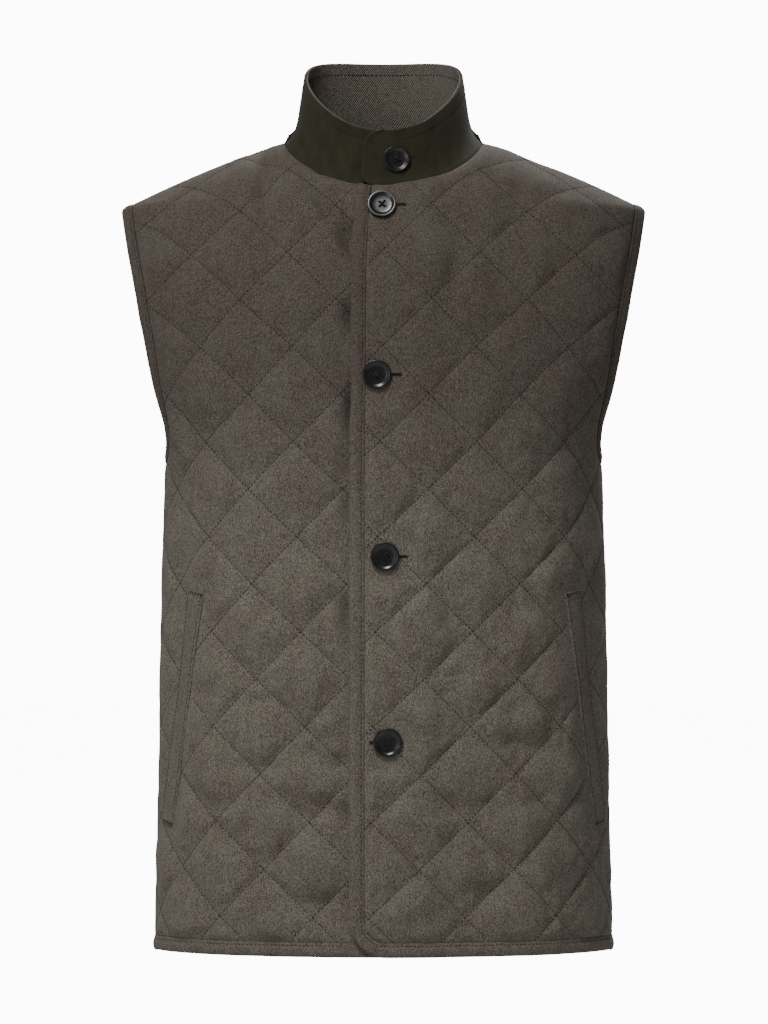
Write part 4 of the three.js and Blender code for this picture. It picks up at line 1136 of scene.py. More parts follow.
def collar_shell_lines():
    """One row that runs along the rim, round the overlapping end and back along the base."""
    low, high = collar_ends(0.5, COLLAR_STITCH)
    top = 1 - COLLAR_STITCH / COLLAR_HEIGHT
    foot = 6.5 / COLLAR_HEIGHT
    upper_turn, upper_drop = 0.08, 5.5 / COLLAR_HEIGHT
    lower_turn, lower_rise = 0.05, 3.5 / COLLAR_HEIGHT
    rim = np.linspace(low + 0.02, high - upper_turn, 240)
    rounding = np.linspace(0, math.pi / 2, 9)[1:]
    back = np.linspace(high - 0.06, high - 0.42, 20)
    turns = np.concatenate((rim, high - upper_turn * (1 - np.sin(rounding)),
                            high - lower_turn * (1 - np.cos(rounding)), back))
    shares = np.concatenate((np.full(len(rim), top), top - upper_drop * (1 - np.cos(rounding)),
                             foot + lower_rise * (1 - np.sin(rounding)), np.full(len(back), foot)))
    return [collar_line(turns, shares, -0.02)]


def collar_facing_lines():
    """One row inside the rim, on the facing."""
    turns = np.linspace(-2.75, 2.75, 300)
    shares = np.full(len(turns), 1 - COLLAR_STITCH / COLLAR_HEIGHT)
    points, normals = collar_line(turns, shares, SHELL + SEAM_GAP + FACING + ROW_LIFT)
    return [(points, -normals)]


# Buttons and their holes

BUTTON_THICK = 0.0036
# The button's face from its rim inwards: how wide each step is, as a share of the button's
# width, and how far it rises, as a share of its thickness
BUTTON_DISH = ((0.075, 0), (0.03, -0.12), (0.05, -0.2), (0.05, -0.06), (0.14, 0.03))
HOLE_REACH = 0.095
THREAD_RADIUS, THREAD_SHIFT = 0.00031, 0.0003
SHANK_LENGTH, SHANK_MIDDLE = 0.0026, -0.0009


def button_seats(settings):
    """Name, seat and facing of every button, in metres."""
    seats = []
    for name, across, height in BUTTONS:
        low, normal = sewn_line(FRONT_LEFT, [across], [height], np.array([WALL]))
        seats.append((name, low[0] + normal[0] * BUTTON_SEAT, normal[0], settings.button_width))
    name, across, share = COLLAR_BUTTON
    turn = math.pi - math.asin(across / NECK_HALF_WIDTH)
    turns = turn + np.array([-0.1, 0, 0.1])
    ring = collar_skin(turns, np.full(3, share), 0)
    column = collar_skin(np.full(2, turn), np.array([share - 0.2, share + 0.2]), 0)
    normal = np.cross(column[1] - column[0], ring[2] - ring[0])
    normal /= np.linalg.norm(normal)
    if normal[1] > 0:
        normal = -normal
    seats.append((name, ring[1] + normal * BUTTON_SEAT, normal, settings.collar_button_width))
    return seats


def choose(mesh, test):
    """Selects in edit mode only the faces whose middle and normal pass the test."""
    bpy.ops.mesh.select_all(action="DESELECT")
    bpy.ops.object.mode_set(mode="OBJECT")
    for face in mesh.polygons:
        face.select = test(face.center, face.normal)
    bpy.ops.object.mode_set(mode="EDIT")


def apply_all(piece):
    bpy.context.view_layer.objects.active = piece
    for modifier in list(piece.modifiers):
        bpy.ops.object.modifier_apply(modifier=modifier.name)


def add_rod(sides, radius, length, middle):
    """A new upright cylinder, selected on its own."""
    bpy.ops.object.select_all(action="DESELECT")
    bpy.ops.mesh.primitive_cylinder_add(vertices=sides, radius=radius, depth=length,
                                        location=middle)
    return bpy.context.object


def select_alone(pieces):
    bpy.ops.object.select_all(action="DESELECT")
    for piece in pieces:
        piece.select_set(True)
    bpy.context.view_layer.objects.active = pieces[0]


def turned_button(width, material):
    """A dished, four-hole button with a raised rim, lying on the XY plane."""
    thick = BUTTON_THICK
    button = add_rod(64, width / 2, thick, (0, 0, thick / 2))
    bpy.ops.object.mode_set(mode="EDIT")
    bpy.ops.mesh.select_mode(type="FACE")
    choose(button.data, lambda middle, normal: normal.z > 0.9)
    for inwards, rise in BUTTON_DISH:
        bpy.ops.mesh.inset(thickness=width * inwards, depth=thick * rise)
    choose(button.data, lambda middle, normal: normal.z < -0.9)
    bpy.ops.mesh.inset(thickness=width * 0.1, depth=thick * 0.02)
    bpy.ops.mesh.select_all(action="SELECT")
    bpy.ops.object.mode_set(mode="OBJECT")
    rounding = button.modifiers.new("rounding", "BEVEL")
    rounding.width = width * 0.018
    rounding.segments = 3
    rounding.limit_method = "ANGLE"
    rounding.angle_limit = math.radians(18)
    apply_all(button)
    reach = width * HOLE_REACH
    for x, y in ((reach, reach), (-reach, reach), (-reach, -reach), (reach, -reach)):
        drill = add_rod(20, width * 0.042, thick * 3, (x, y, thick / 2))
        hole = button.modifiers.new("hole", "BOOLEAN")
        hole.operation = "DIFFERENCE"
        hole.object = drill
        apply_all(button)
        bpy.data.objects.remove(drill, do_unlink=True)
    select_alone([button])
    bpy.ops.object.shade_smooth_by_angle(angle=math.radians(32))
    button.data.materials.append(material)
    return button


def button_thread(width, material):
    """Two pairs of crossed threads through the four holes, and a wrapped shank below."""
    reach = width * HOLE_REACH
    pieces = []
    for x, y, lift in ((reach, reach, 0.0), (reach, -reach, THREAD_SHIFT)):
        for shift in (-THREAD_SHIFT, THREAD_SHIFT):
            length = math.hypot(x, y) * 2
            thread = add_rod(10, THREAD_RADIUS, length, (0, 0, 0))
            bpy.ops.object.mode_set(mode="EDIT")
            bpy.ops.mesh.select_all(action="SELECT")
            bpy.ops.mesh.subdivide(number_cuts=1)
            bpy.ops.object.mode_set(mode="OBJECT")
            turn = Matrix.Rotation(math.atan2(y, x), 4, "Z") @ Matrix.Rotation(math.pi / 2, 4, "Y")
            thread.matrix_world = (Matrix.Translation((0, 0, BUTTON_THICK * 0.66 + lift)) @ turn
                                   @ Matrix.Translation((0, shift, 0)))
            bpy.ops.object.transform_apply(location=True, rotation=True, scale=True)
            for vertex in thread.data.vertices:
                ends = vertex.co.xy.length / (length / 2)
                vertex.co.z -= 0.0011 * max(0, ends - 0.55) ** 2 * 5
            pieces.append(thread)
    pieces.append(add_rod(16, width * 0.13, SHANK_LENGTH, (0, 0, SHANK_MIDDLE)))
    select_alone(pieces)
    bpy.ops.object.join()
    joined = bpy.context.object
    bpy.ops.object.shade_smooth_by_angle(angle=math.radians(50))
    joined.data.materials.clear()
    joined.data.materials.append(material)
    return joined


def set_on(piece, seat, normal, turn):
    """Turns a piece from the XY plane to face along a normal, and puts it on its seat."""
    facing = Vector(normal).to_track_quat("Z", "Y").to_matrix().to_4x4()
    piece.matrix_world = (Matrix.Translation(Vector(seat) * MM) @ facing
                          @ Matrix.Rotation(turn, 4, "Z"))
    select_alone([piece])
    bpy.ops.object.transform_apply(location=True, rotation=True, scale=True)


BUTTON_TURNS = {"button_collar": 0.35, "button_1": 0.06, "button_2": -0.2, "button_3": 0.7,
                "button_4": 0.15}


def copied(piece, name):
    """A copy under a new name, with its own mesh."""
    copy = piece.copy()
    copy.data = piece.data.copy()
    copy.name = name
    copy.data.name = name
    bpy.context.scene.collection.objects.link(copy)
    return copy


# Where each buttonhole starts and ends, measured across from its button's middle
BUTTONHOLES = {"button_1": (-6, 18.5), "button_2": (-6, 20), "button_3": (-6, 18),
               "button_4": (-13.5, 12), "button_collar": (-6, 16.5)}
HOLE_HALF_WIDTH = 1.3
SLIT_HALF_WIDTH = 0.42
WHIP_PITCH = 0.75


def hole_surface(name, across, down, out):
    """Places on the left front or the collar, beside a button: across and down from its middle."""
    across, down = np.broadcast_arrays(np.asarray(across, float), np.asarray(down, float))
    if name == "button_collar":
        middle, share = COLLAR_BUTTON[1], COLLAR_BUTTON[2]
        turns = math.pi - np.arcsin((middle + across) / NECK_HALF_WIDTH)
        points = collar_skin(turns, share + down / COLLAR_HEIGHT, -out)
        normals = collar_skin(turns, share + down / COLLAR_HEIGHT, -out - 1) - points
        return points, normals
    place = {button[0]: button[1:] for button in BUTTONS}[name]
    return sewn_line(FRONT_LEFT, place[0] + across, place[1] + down,
                     np.full(across.shape, WALL + out))


def buttonhole(name):
    """Whip stitches round a slit: starts, ends and normals of each."""
    start, end = BUTTONHOLES[name]
    run = np.arange(start, end, WHIP_PITCH)
    across, down, to_across, to_down = [], [], [], []
    for side in (-1, 1):
        across.append(run)
        down.append(np.full(len(run), side * 0.25))
        to_across.append(run + 0.12)
        to_down.append(np.full(len(run), side * HOLE_HALF_WIDTH))
    for middle, way in ((start, -1), (end, 1)):
        fan = np.linspace(-1.3, 1.3, 6)
        across.append(middle + way * 0.25 * np.cos(fan))
        down.append(0.25 * np.sin(fan))
        to_across.append(middle + way * HOLE_HALF_WIDTH * np.cos(fan))
        to_down.append(HOLE_HALF_WIDTH * np.sin(fan))
    starts, normals = hole_surface(name, np.concatenate(across), np.concatenate(down), 0.25)
    ends, _ = hole_surface(name, np.concatenate(to_across), np.concatenate(to_down), 0.2)
    return starts, ends, normals


def hole_slit(name):
    """The dark opening between the whipped lips: a thin closed lens, painted near-black as the shadow
    inside the slit.
    """
    start, end = BUTTONHOLES[name]
    run = np.linspace(start, end, 16)
    from_middle = (run - (start + end) / 2) / ((end - start) / 2)
    half = SLIT_HALF_WIDTH * np.sqrt(np.clip(1 - from_middle**2, 0.02, 1))
    rows = [hole_surface(name, run, side * half, lift)[0]
            for side, lift in ((-1, 0.02), (-1, 0.22), (1, 0.22), (1, 0.02))]
    return np.stack(rows, axis=1)


# Finishes

# Painted shade: the cloth's colour is multiplied towards this darker, browner tint up the chest, for
# the dimmer light there. CHEST_LOW and CHEST_HIGH are the heights over which it fades in.
PAINTED_CHEST_SHADE = (0.56, 0.52, 0.515)
CHEST_LOW, CHEST_HIGH = -0.40, -0.13

# Steps of each noise in a metre, across and down the body
STREAKS = (1250, 1250, 420)
THREADS = (1750, 1750, 1450)
PATCHES = (60, 60, 26)


def add_node(tree, kind, inputs=None, **values):
    node = tree.nodes.new(kind)
    for name, value in values.items():
        setattr(node, name, value)
    for name, value in (inputs or {}).items():
        socket = node.inputs[name]
        if isinstance(value, bpy.types.NodeSocket):
            tree.links.new(value, socket)
        else:
            socket.default_value = value
    return node


def new_group(name, inputs, outputs):
    """A shader node group with named sockets, built once."""
    group = bpy.data.node_groups.new(name, "ShaderNodeTree")
    for socket, kind, default in inputs:
        made = group.interface.new_socket(socket, in_out="INPUT", socket_type=kind)
        if default is not None:
            made.default_value = default
    for socket, kind in outputs:
        group.interface.new_socket(socket, in_out="OUTPUT", socket_type=kind)
    return group, group.nodes.new("NodeGroupInput"), group.nodes.new("NodeGroupOutput")


def maths(tree, operation, first, second=0.0):
    node = add_node(tree, "ShaderNodeMath", {0: first, 1: second}, operation=operation)
    return node.outputs[0]


def scaled_place(tree, place, scale):
    """A place in metres, as a place in steps of the given sizes per metre."""
    node = add_node(tree, "ShaderNodeVectorMath", {0: place, 1: scale}, operation="MULTIPLY")
    return node.outputs[0]


def noise_of(tree, place, scale, detail, roughness=0.5, distortion=0.0):
    node = add_node(tree, "ShaderNodeTexNoise",
                    {"Vector": place, "Scale": scale, "Detail": detail, "Roughness": roughness,
                     "Distortion": distortion})
    return node.outputs[0]


def twill_group():
    """Woven twill: a tone that varies from thread to thread, and the height of its ribs."""
    tree, given, put = new_group(
        "Twill cloth",
        (("Place", "NodeSocketVector", None), ("Body place", "NodeSocketVector", None),
         ("Rib pitch", "NodeSocketFloat", 0.9),
         ("Rib slope", "NodeSocketFloat", 0.5), ("Rib depth", "NodeSocketFloat", 0.4),
         ("Streaks", "NodeSocketFloat", 0.95), ("Threads", "NodeSocketFloat", 1.5)),
        (("Tone", "NodeSocketFloat"), ("Patches", "NodeSocketFloat"),
         ("Height", "NodeSocketFloat")))
    place, body = given.outputs["Place"], given.outputs["Body place"]
    in_mm = scaled_place(tree, place, (1 / MM, 1 / MM, 1 / MM))
    parts = add_node(tree, "ShaderNodeSeparateXYZ", {0: in_mm})
    slanted = maths(tree, "ADD", parts.outputs[0],
                    maths(tree, "MULTIPLY", parts.outputs[1], given.outputs["Rib slope"]))
    turns = maths(tree, "DIVIDE", slanted, given.outputs["Rib pitch"])
    ribs = maths(tree, "SINE", maths(tree, "MULTIPLY", turns, 2 * math.pi))
    streaks, threads, patches = (
        noise_of(tree, scaled_place(tree, body, steps), 1.0, detail, roughness)
        for steps, detail, roughness in ((STREAKS, 2.0, 0.7), (THREADS, 1.0, 0.6),
                                         (PATCHES, 3.0, 0.55)))
    tone = maths(tree, "ADD", maths(tree, "MULTIPLY", streaks, given.outputs["Streaks"]),
                 maths(tree, "MULTIPLY", threads, given.outputs["Threads"]))
    tone = maths(tree, "ADD", tone, maths(tree, "MULTIPLY", patches, 0.2))
    shift = maths(tree, "ADD", given.outputs["Streaks"], given.outputs["Threads"])
    centred = maths(tree, "MULTIPLY", maths(tree, "SUBTRACT", shift, 0.8), 0.5)
    tone = maths(tree, "SUBTRACT", tone, centred)
    ribbed = maths(tree, "MULTIPLY", ribs, given.outputs["Rib depth"])
    tone = maths(tree, "ADD", tone, maths(tree, "MULTIPLY", ribbed, 0.09))
    height = maths(tree, "ADD", maths(tree, "MULTIPLY", ribbed, 0.5), threads)
    tree.links.new(patches, put.inputs["Patches"])
    tree.links.new(tone, put.inputs["Tone"])
    tree.links.new(height, put.inputs["Height"])


def nap_group():
    """Brushed or plain cloth without ribs: a soft tone and a very fine, fuzzy height."""
    tree, given, put = new_group(
        "Brushed nap",
        (("Place", "NodeSocketVector", None), ("Fibre", "NodeSocketFloat", 1400.0)),
        (("Tone", "NodeSocketFloat"), ("Height", "NodeSocketFloat")))
    place = given.outputs["Place"]
    fuzz = noise_of(tree, place, given.outputs["Fibre"], 3.0, 0.7)
    brushed = noise_of(tree, scaled_place(tree, place, (120, 50, 50)), 1.0, 4.0, 0.6)
    tone = maths(tree, "ADD", maths(tree, "MULTIPLY", fuzz, 0.4),
                 maths(tree, "MULTIPLY", brushed, 0.6))
    tree.links.new(tone, put.inputs["Tone"])
    tree.links.new(fuzz, put.inputs["Height"])


def new_finish(name, values):
    """A new material with the given constant values on its shader."""
    finish = bpy.data.materials.new(name)
    finish.use_nodes = True
    shader = finish.node_tree.nodes["Principled BSDF"]
    for socket, value in values.items():
        shader.inputs[socket].default_value = value
    return finish, finish.node_tree, shader


def tinted(tree, tone, colors, spots):
    """A colour ramp from the darkest threads to the lightest."""
    ramp = add_node(tree, "ShaderNodeValToRGB", {0: tone})
    elements = ramp.color_ramp.elements
    while len(elements) < len(colors):
        elements.new(0.5)
    for element, color, spot in zip(elements, colors, spots):
        element.position = spot
        element.color = (*color, 1)
    return ramp.outputs[0]


def lighter(color, factor):
    return tuple(min(1, value * factor) for value in color)


def bumped(tree, shader, height, distance, strength):
    bump = add_node(tree, "ShaderNodeBump", {"Height": height, "Distance": distance,
                                             "Strength": strength})
    tree.links.new(bump.outputs[0], shader.inputs["Normal"])


def cut_place(tree):
    return add_node(tree, "ShaderNodeUVMap", uv_map="cut").outputs[0]


def object_place(tree):
    return add_node(tree, "ShaderNodeTexCoord").outputs["Object"]


def painted_chest_shade(tree, tint):
    """Painted shade: the upper chest is a little darker and browner than the rest, standing in for the
    dimmer light that falls there.
    """
    height = add_node(tree, "ShaderNodeSeparateXYZ", {0: object_place(tree)}).outputs[2]
    share = add_node(tree, "ShaderNodeMapRange",
                     {"Value": height, "From Min": CHEST_LOW, "From Max": CHEST_HIGH},
                     interpolation_type="SMOOTHSTEP")
    shade = tinted(tree, share.outputs[0], ((1, 1, 1), PAINTED_CHEST_SHADE), (0.0, 1.0))
    return blended(tree, "MULTIPLY", 1.0, tint, shade)


def blended(tree, kind, share, first, second):
    node = add_node(tree, "ShaderNodeMix", {0: share, 6: first, 7: second}, data_type="RGBA",
                    blend_type=kind)
    return node.outputs[2]


def twill_finish(name, color, pitch, slope, depth, contrast, strength=0.5, painted_shade=True):
    finish, tree, shader = new_finish(name, {"Roughness": 0.92, "Specular IOR Level": 0.2,
                                             "Sheen Weight": 0.03, "Sheen Roughness": 0.6})
    group = add_node(tree, "ShaderNodeGroup", node_tree=bpy.data.node_groups["Twill cloth"])
    tree.links.new(cut_place(tree), group.inputs["Place"])
    tree.links.new(object_place(tree), group.inputs["Body place"])
    group.inputs["Rib pitch"].default_value = pitch
    group.inputs["Rib slope"].default_value = slope
    group.inputs["Rib depth"].default_value = depth
    brown = (color[0] * 1.05, color[1], color[2] * 0.98)
    green = (color[0] * 0.97, color[1] * 1.02, color[2] * 0.98)
    ramps = [tinted(tree, group.outputs["Tone"],
                    (lighter(shade, 1 - contrast), shade, lighter(shade, 1 + contrast * 1.2)),
                    (0.18, 0.5, 0.82)) for shade in (brown, green)]
    share = add_node(tree, "ShaderNodeMapRange", {"Value": group.outputs["Patches"],
                                                  "From Min": 0.4, "From Max": 0.6})
    tint = blended(tree, "MIX", share.outputs[0], *ramps)
    # Painted shade that darkens the upper chest. It goes on the outer cloths but not on the collar
    # facing.
    if painted_shade:
        tint = painted_chest_shade(tree, tint)
    tree.links.new(tint, shader.inputs["Base Color"])
    bumped(tree, shader, group.outputs["Height"], 0.0004, strength)
    return finish


def nap_finish(name, color, contrast, fibre, sheen, strength):
    finish, tree, shader = new_finish(name, {"Roughness": 0.95, "Specular IOR Level": 0.15,
                                             "Sheen Weight": sheen, "Sheen Roughness": 0.5})
    group = add_node(tree, "ShaderNodeGroup", node_tree=bpy.data.node_groups["Brushed nap"])
    tree.links.new(object_place(tree), group.inputs["Place"])
    group.inputs["Fibre"].default_value = fibre
    tint = tinted(tree, group.outputs["Tone"],
                  (lighter(color, 1 - contrast), color, lighter(color, 1 + contrast)),
                  (0.34, 0.5, 0.68))
    tree.links.new(tint, shader.inputs["Base Color"])
    bumped(tree, shader, group.outputs["Height"], 0.0003, strength)
    return finish


def horn_finish(color):
    finish, tree, shader = new_finish("Polished dark horn", {"Specular IOR Level": 0.4})
    place = object_place(tree)
    clouds = noise_of(tree, place, 140.0, 4.0, distortion=1.5)
    tint = tinted(tree, clouds, (lighter(color, 0.5), color, lighter(color, 3.2)), (0.35, 0.55, 0.8))
    tree.links.new(tint, shader.inputs["Base Color"])
    marks = noise_of(tree, place, 900.0, 2.0)
    rough = add_node(tree, "ShaderNodeMapRange", {"Value": marks, "To Min": 0.25, "To Max": 0.36})
    tree.links.new(rough.outputs[0], shader.inputs["Roughness"])
    return finish


def finishes(settings):
    """Every finish by name, made on the first call."""
    if "Quilted twill" not in bpy.data.materials:
        twill_group()
        nap_group()
        twill_finish("Quilted twill", settings.cloth_color, 0.95, 0.45, 0.5, 0.82)
        twill_finish("Binding twill", settings.binding_color, 0.95, 0.45, 0.5, 0.75)
        twill_finish("Collar facing twill", settings.facing_color, 2.1, -1.0, 2.2, 0.6, 0.8,
                     painted_shade=False)
        nap_finish("Lining cotton", settings.lining_color, 0.2, 1800.0, 0.05, 0.2)
        nap_finish("Brushed olive cotton", settings.collar_color, 0.35, 1500.0, 0.04, 0.4)
        nap_finish("Sewing thread", settings.thread_color, 0.3, 4000.0, 0.1, 0.5)
        nap_finish("Collar thread", settings.collar_thread_color, 0.3, 4000.0, 0.1, 0.5)
        nap_finish("Button thread", settings.button_thread_color, 0.3, 4000.0, 0.1, 0.5)
        # A painted shadow: near-black for the shade inside each buttonhole's slit.
        nap_finish("Slit shadow", (0.004, 0.004, 0.003), 0.2, 1500.0, 0.0, 0.2)
        horn_finish(settings.button_color)
    return bpy.data.materials


def colour_property(name, description, default):
    return bpy.props.FloatVectorProperty(name=name, description=description, subtype="COLOR",
                                         size=3, min=0, max=1, default=default)


def length_property(name, description, default):
    return bpy.props.FloatProperty(name=name, description=description, unit="LENGTH",
                                   subtype="DISTANCE", min=0, default=default, precision=5)


class VestSettings(bpy.types.PropertyGroup):
    """Sizes and colours that a user would change."""

    puff_height: length_property("Puff height", "How far each diamond swells", 0.005)
    stitch_length: length_property("Stitch length", "Length of one stitch that shows", 0.0026)
    stitch_gap: length_property("Stitch gap", "Cloth between two stitches", 0.0009)
    thread_width: length_property("Thread width", "Width of the sewing thread", 0.00072)
    button_width: length_property("Front button width", "Across a front button", 0.024)
    collar_button_width: length_property("Collar button width", "Across the collar button", 0.0224)
    cloth_color: colour_property("Cloth", "Middle tone of the quilted twill", (0.091, 0.0795, 0.0655))
    binding_color: colour_property("Binding", "Middle tone of the bindings", (0.084, 0.072, 0.061))
    collar_color: colour_property("Collar", "Brushed cotton of the collar", (0.0155, 0.0148, 0.0075))
    facing_color: colour_property("Facing", "Twill inside the collar", (0.085, 0.074, 0.062))
    lining_color: colour_property("Lining", "Plain cloth inside", (0.06, 0.052, 0.042))
    thread_color: colour_property("Thread", "Thread of the quilting and edges",
                                  (0.011, 0.008, 0.0065))
    collar_thread_color: colour_property("Collar thread", "Thread on the collar",
                                         (0.016, 0.015, 0.008))
    button_thread_color: colour_property("Button thread", "Thread through the buttons",
                                         (0.011, 0.01, 0.0095))
    button_color: colour_property("Buttons", "Dark horn of the buttons", (0.0045, 0.0045, 0.0055))


class VEST_OT_quilted_panels(bpy.types.Operator):
    """Make the two quilted fronts and the quilted back"""

    bl_idname = "vest.quilted_panels"
    bl_label = "Quilted panels"

    def execute(self, context):
        settings = context.scene.vest_settings
        made = finishes(settings)
        for cut in (FRONT_LEFT, FRONT_RIGHT, BACK):
            quilted_panel(cut, settings, [made["Quilted twill"], made["Lining cotton"]])
        return {"FINISHED"}


class VEST_OT_bindings(bpy.types.Operator):
    """Bind the front edges, the hem and both armholes"""

    bl_idname = "vest.bindings"
    bl_label = "Bindings"

    def execute(self, context):
        cloth = finishes(context.scene.vest_settings)["Binding twill"]
        edge_binding("edge_binding_left", FRONT_LEFT, cloth)
        edge_binding("edge_binding_right", FRONT_RIGHT, cloth)
        back_hem_binding(cloth)
        armhole_binding("left", 1, cloth)
        armhole_binding("right", -1, cloth)
        return {"FINISHED"}


class VEST_OT_pocket_welts(bpy.types.Operator):
    """Sew a slanted welt over each pocket opening"""

    bl_idname = "vest.pocket_welts"
    bl_label = "Pocket welts"

    def execute(self, context):
        cloth = finishes(context.scene.vest_settings)["Binding twill"]
        pocket_welt("pocket_welt_left", FRONT_LEFT, cloth)
        pocket_welt("pocket_welt_right", FRONT_RIGHT, cloth)
        return {"FINISHED"}


class VEST_OT_collar(bpy.types.Operator):
    """Make the stand collar's outer cloth and its facing"""

    bl_idname = "vest.collar"
    bl_label = "Collar"

    def execute(self, context):
        made = finishes(context.scene.vest_settings)
        collar_wall("collar_shell_cloth", 0, SHELL + 0.15, made["Brushed olive cotton"],
                    ("collar_shell",), 1.1, SHELL_TUCK)
        start = SHELL + SEAM_GAP - 0.15
        collar_wall("collar_facing_cloth", start, start + FACING + 0.15,
                    made["Collar facing twill"], ("collar_facing",), 0.9,
                    FACING_TUCK)
        return {"FINISHED"}


class VEST_OT_sewing(bpy.types.Operator):
    """Sew the quilting, the edges, the welts and the collar"""

    bl_idname = "vest.sewing"
    bl_label = "Sewing"

    def execute(self, context):
        settings = context.scene.vest_settings
        made = finishes(settings)
        thread = made["Sewing thread"]
        for cut in (FRONT_LEFT, FRONT_RIGHT, BACK):
            sew(f"quilting_{cut['name']}", quilting_lines(cut, settings), settings, thread)
        sew("edge_stitching", band_lines(), settings, thread)
        sew("welt_stitching", welt_lines(), settings, thread)
        sew("welt_tacks", welt_tacks(), settings, thread, 1.3)
        sew("collar_stitching", collar_shell_lines(), settings, made["Collar thread"])
        sew("facing_stitching", collar_facing_lines(), settings, thread)
        return {"FINISHED"}


class VEST_OT_buttons(bpy.types.Operator):
    """Turn the five buttons and sew them on"""

    bl_idname = "vest.buttons"
    bl_label = "Buttons"

    def execute(self, context):
        settings = context.scene.vest_settings
        made = finishes(settings)
        blanks = {}
        for name, seat, normal, width in button_seats(settings):
            if width not in blanks:
                blanks[width] = (turned_button(width, made["Polished dark horn"]),
                                 button_thread(width, made["Button thread"]))
            button, thread = (copied(piece, wanted) for piece, wanted in
                              zip(blanks[width], (f"{name}_horn", f"{name}_thread")))
            for piece in (button, thread):
                set_on(piece, seat, normal, BUTTON_TURNS[name])
                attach(piece, BODY)
            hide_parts(name)
        for pair in blanks.values():
            for piece in pair:
                bpy.data.objects.remove(piece, do_unlink=True)
        return {"FINISHED"}


class VEST_OT_buttonholes(bpy.types.Operator):
    """Whip the five buttonholes"""

    bl_idname = "vest.buttonholes"
    bl_label = "Buttonholes"

    def execute(self, context):
        settings = context.scene.vest_settings
        made = finishes(settings)
        for name in BUTTONHOLES:
            on_collar = name == "button_collar"
            thread = made["Collar thread" if on_collar else "Sewing thread"]
            points, faces = stitches(*buttonhole(name), settings.thread_width / MM / 2)
            hole = name.replace("button", "buttonhole")
            add_mesh(f"{hole}_whipping", points, faces, None, [thread])
            slit = hole_slit(name)
            walls = turned_out(slit, tube_faces(*slit.shape[:2]))
            add_mesh(f"{hole}_slit", slit.reshape(-1, 3), walls, None, [made["Slit shadow"]])
        return {"FINISHED"}


# Stage

# Name, place, what it points at, width and height, and power of each light
STUDIO_LIGHTS = (
    ("high front softbox", (-0.6, -1.55, 2.0), (0, 0, -0.45), (0.7, 0.7), 86),
    ("low front softbox", (-1.7, -2.5, 0.2), (0, 0, -0.4), (1.0, 1.2), 21),
    ("high back softbox", (0.7, 1.9, 1.9), (0, 0, -0.4), (0.9, 0.8), 80),
)

CAMERA_DISTANCE = 4.0
CAMERA_HEIGHT = -0.318
CAMERA_LENS = 164.5
FLOOR_HEIGHT = -0.80
FLOOR_GLOW = 11.3
BACKDROP_GLOW = 12.0
AMBIENT = 0.2


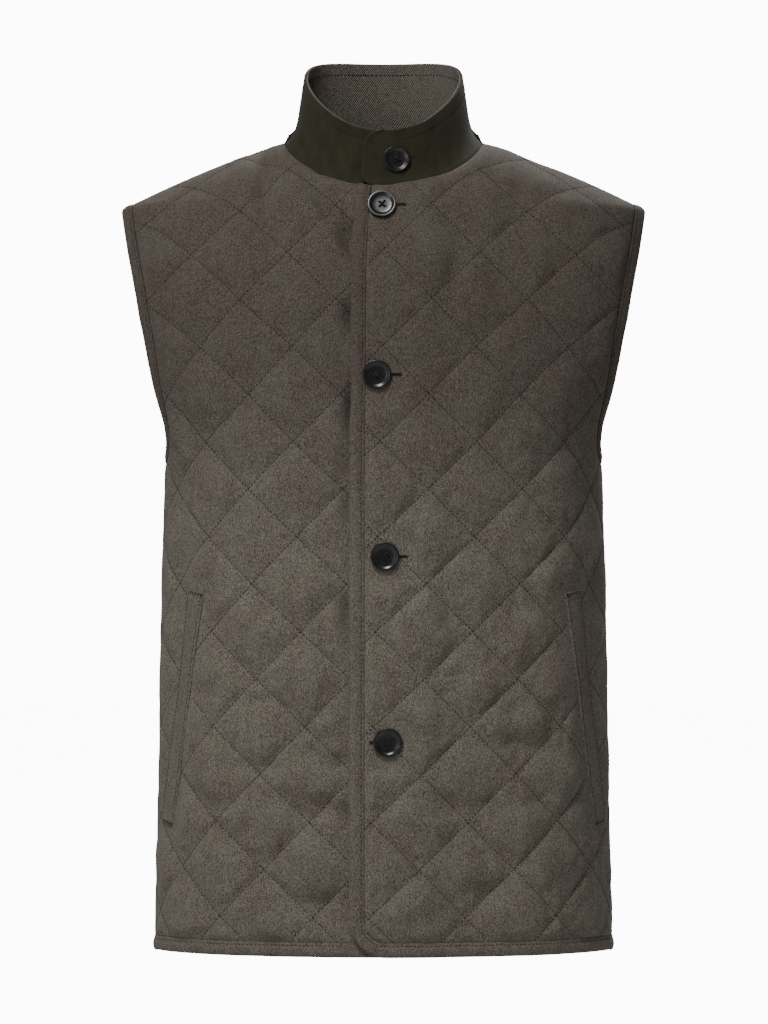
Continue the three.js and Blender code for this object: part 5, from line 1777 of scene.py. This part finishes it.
class VEST_OT_stage(bpy.types.Operator):
    """Set up the floor, the backdrop, the soft lights and the camera"""

    bl_idname = "vest.stage"
    bl_label = "Stage"

    def execute(self, context):
        scene = context.scene
        lens = bpy.data.cameras.new("Camera")
        lens.lens = CAMERA_LENS
        lens.sensor_width = 36
        lens.clip_end = 50
        camera = bpy.data.objects.new("Camera", lens)
        camera.location = (0.0004, -CAMERA_DISTANCE, CAMERA_HEIGHT)
        camera.rotation_euler = (math.pi / 2, 0, 0)
        scene.collection.objects.link(camera)
        scene.camera = camera

        bpy.ops.object.select_all(action="DESELECT")
        bpy.ops.mesh.primitive_plane_add(size=16, location=(0, 0, FLOOR_HEIGHT))
        floor = context.object
        floor.name = "floor"
        finish, tree, shader = new_finish("Pale studio floor", {
            "Roughness": 0.9, "Emission Color": (1, 1, 1, 1)})
        shade = add_node(tree, "ShaderNodeTexNoise", {"Vector": object_place(tree), "Scale": 0.6})
        tint = tinted(tree, shade.outputs[0], ((0.6, 0.6, 0.6), (0.64, 0.64, 0.64)), (0.3, 0.7))
        tree.links.new(tint, shader.inputs["Base Color"])
        seen = add_node(tree, "ShaderNodeLightPath").outputs["Is Camera Ray"]
        tree.links.new(maths(tree, "MULTIPLY", seen, FLOOR_GLOW), shader.inputs["Emission Strength"])
        floor.data.materials.append(finish)

        world = bpy.data.worlds.new("Pale studio")
        world.use_nodes = True
        sky = world.node_tree.nodes["Background"]
        sky.inputs[0].default_value = (1, 1, 1, 1)
        seen = add_node(world.node_tree, "ShaderNodeLightPath").outputs["Is Camera Ray"]
        glow = add_node(world.node_tree, "ShaderNodeMapRange",
                        {"Value": seen, "To Min": AMBIENT, "To Max": BACKDROP_GLOW})
        world.node_tree.links.new(glow.outputs[0], sky.inputs[1])
        scene.world = world

        for name, place, target, size, energy in STUDIO_LIGHTS:
            light = bpy.data.lights.new(name, "AREA")
            light.shape = "RECTANGLE"
            light.size, light.size_y = size
            light.energy = energy
            lamp = bpy.data.objects.new(name, light)
            lamp.location = place
            lamp.rotation_euler = (Vector(target) - Vector(place)).to_track_quat("-Z", "Y").to_euler()
            scene.collection.objects.link(lamp)
        return {"FINISHED"}


class VEST_PT_panel(bpy.types.Panel):
    """Settings and steps of the vest"""

    bl_label = "Quilted vest"
    bl_idname = "VEST_PT_panel"
    bl_space_type = "VIEW_3D"
    bl_region_type = "UI"
    bl_category = "Vest"

    def draw(self, context):
        settings = context.scene.vest_settings
        for name in VestSettings.__annotations__:
            self.layout.prop(settings, name)
        for operator in OPERATORS:
            self.layout.operator(operator.bl_idname)


OPERATORS = (VEST_OT_stage, VEST_OT_quilted_panels, VEST_OT_bindings, VEST_OT_pocket_welts,
             VEST_OT_collar, VEST_OT_sewing, VEST_OT_buttons, VEST_OT_buttonholes)
CLASSES = (VestSettings, *OPERATORS, VEST_PT_panel)


def register():
    for cls in CLASSES:
        bpy.utils.register_class(cls)
    bpy.types.Scene.vest_settings = bpy.props.PointerProperty(type=VestSettings)


def unregister():
    del bpy.types.Scene.vest_settings
    for cls in reversed(CLASSES):
        bpy.utils.unregister_class(cls)


def main():
    register()
    bpy.ops.vest.stage()
    bpy.ops.vest.quilted_panels()
    bpy.ops.vest.bindings()
    bpy.ops.vest.pocket_welts()
    bpy.ops.vest.collar()
    bpy.ops.vest.sewing()
    bpy.ops.vest.buttons()
    bpy.ops.vest.buttonholes()


if __name__ == "__main__":
    main()
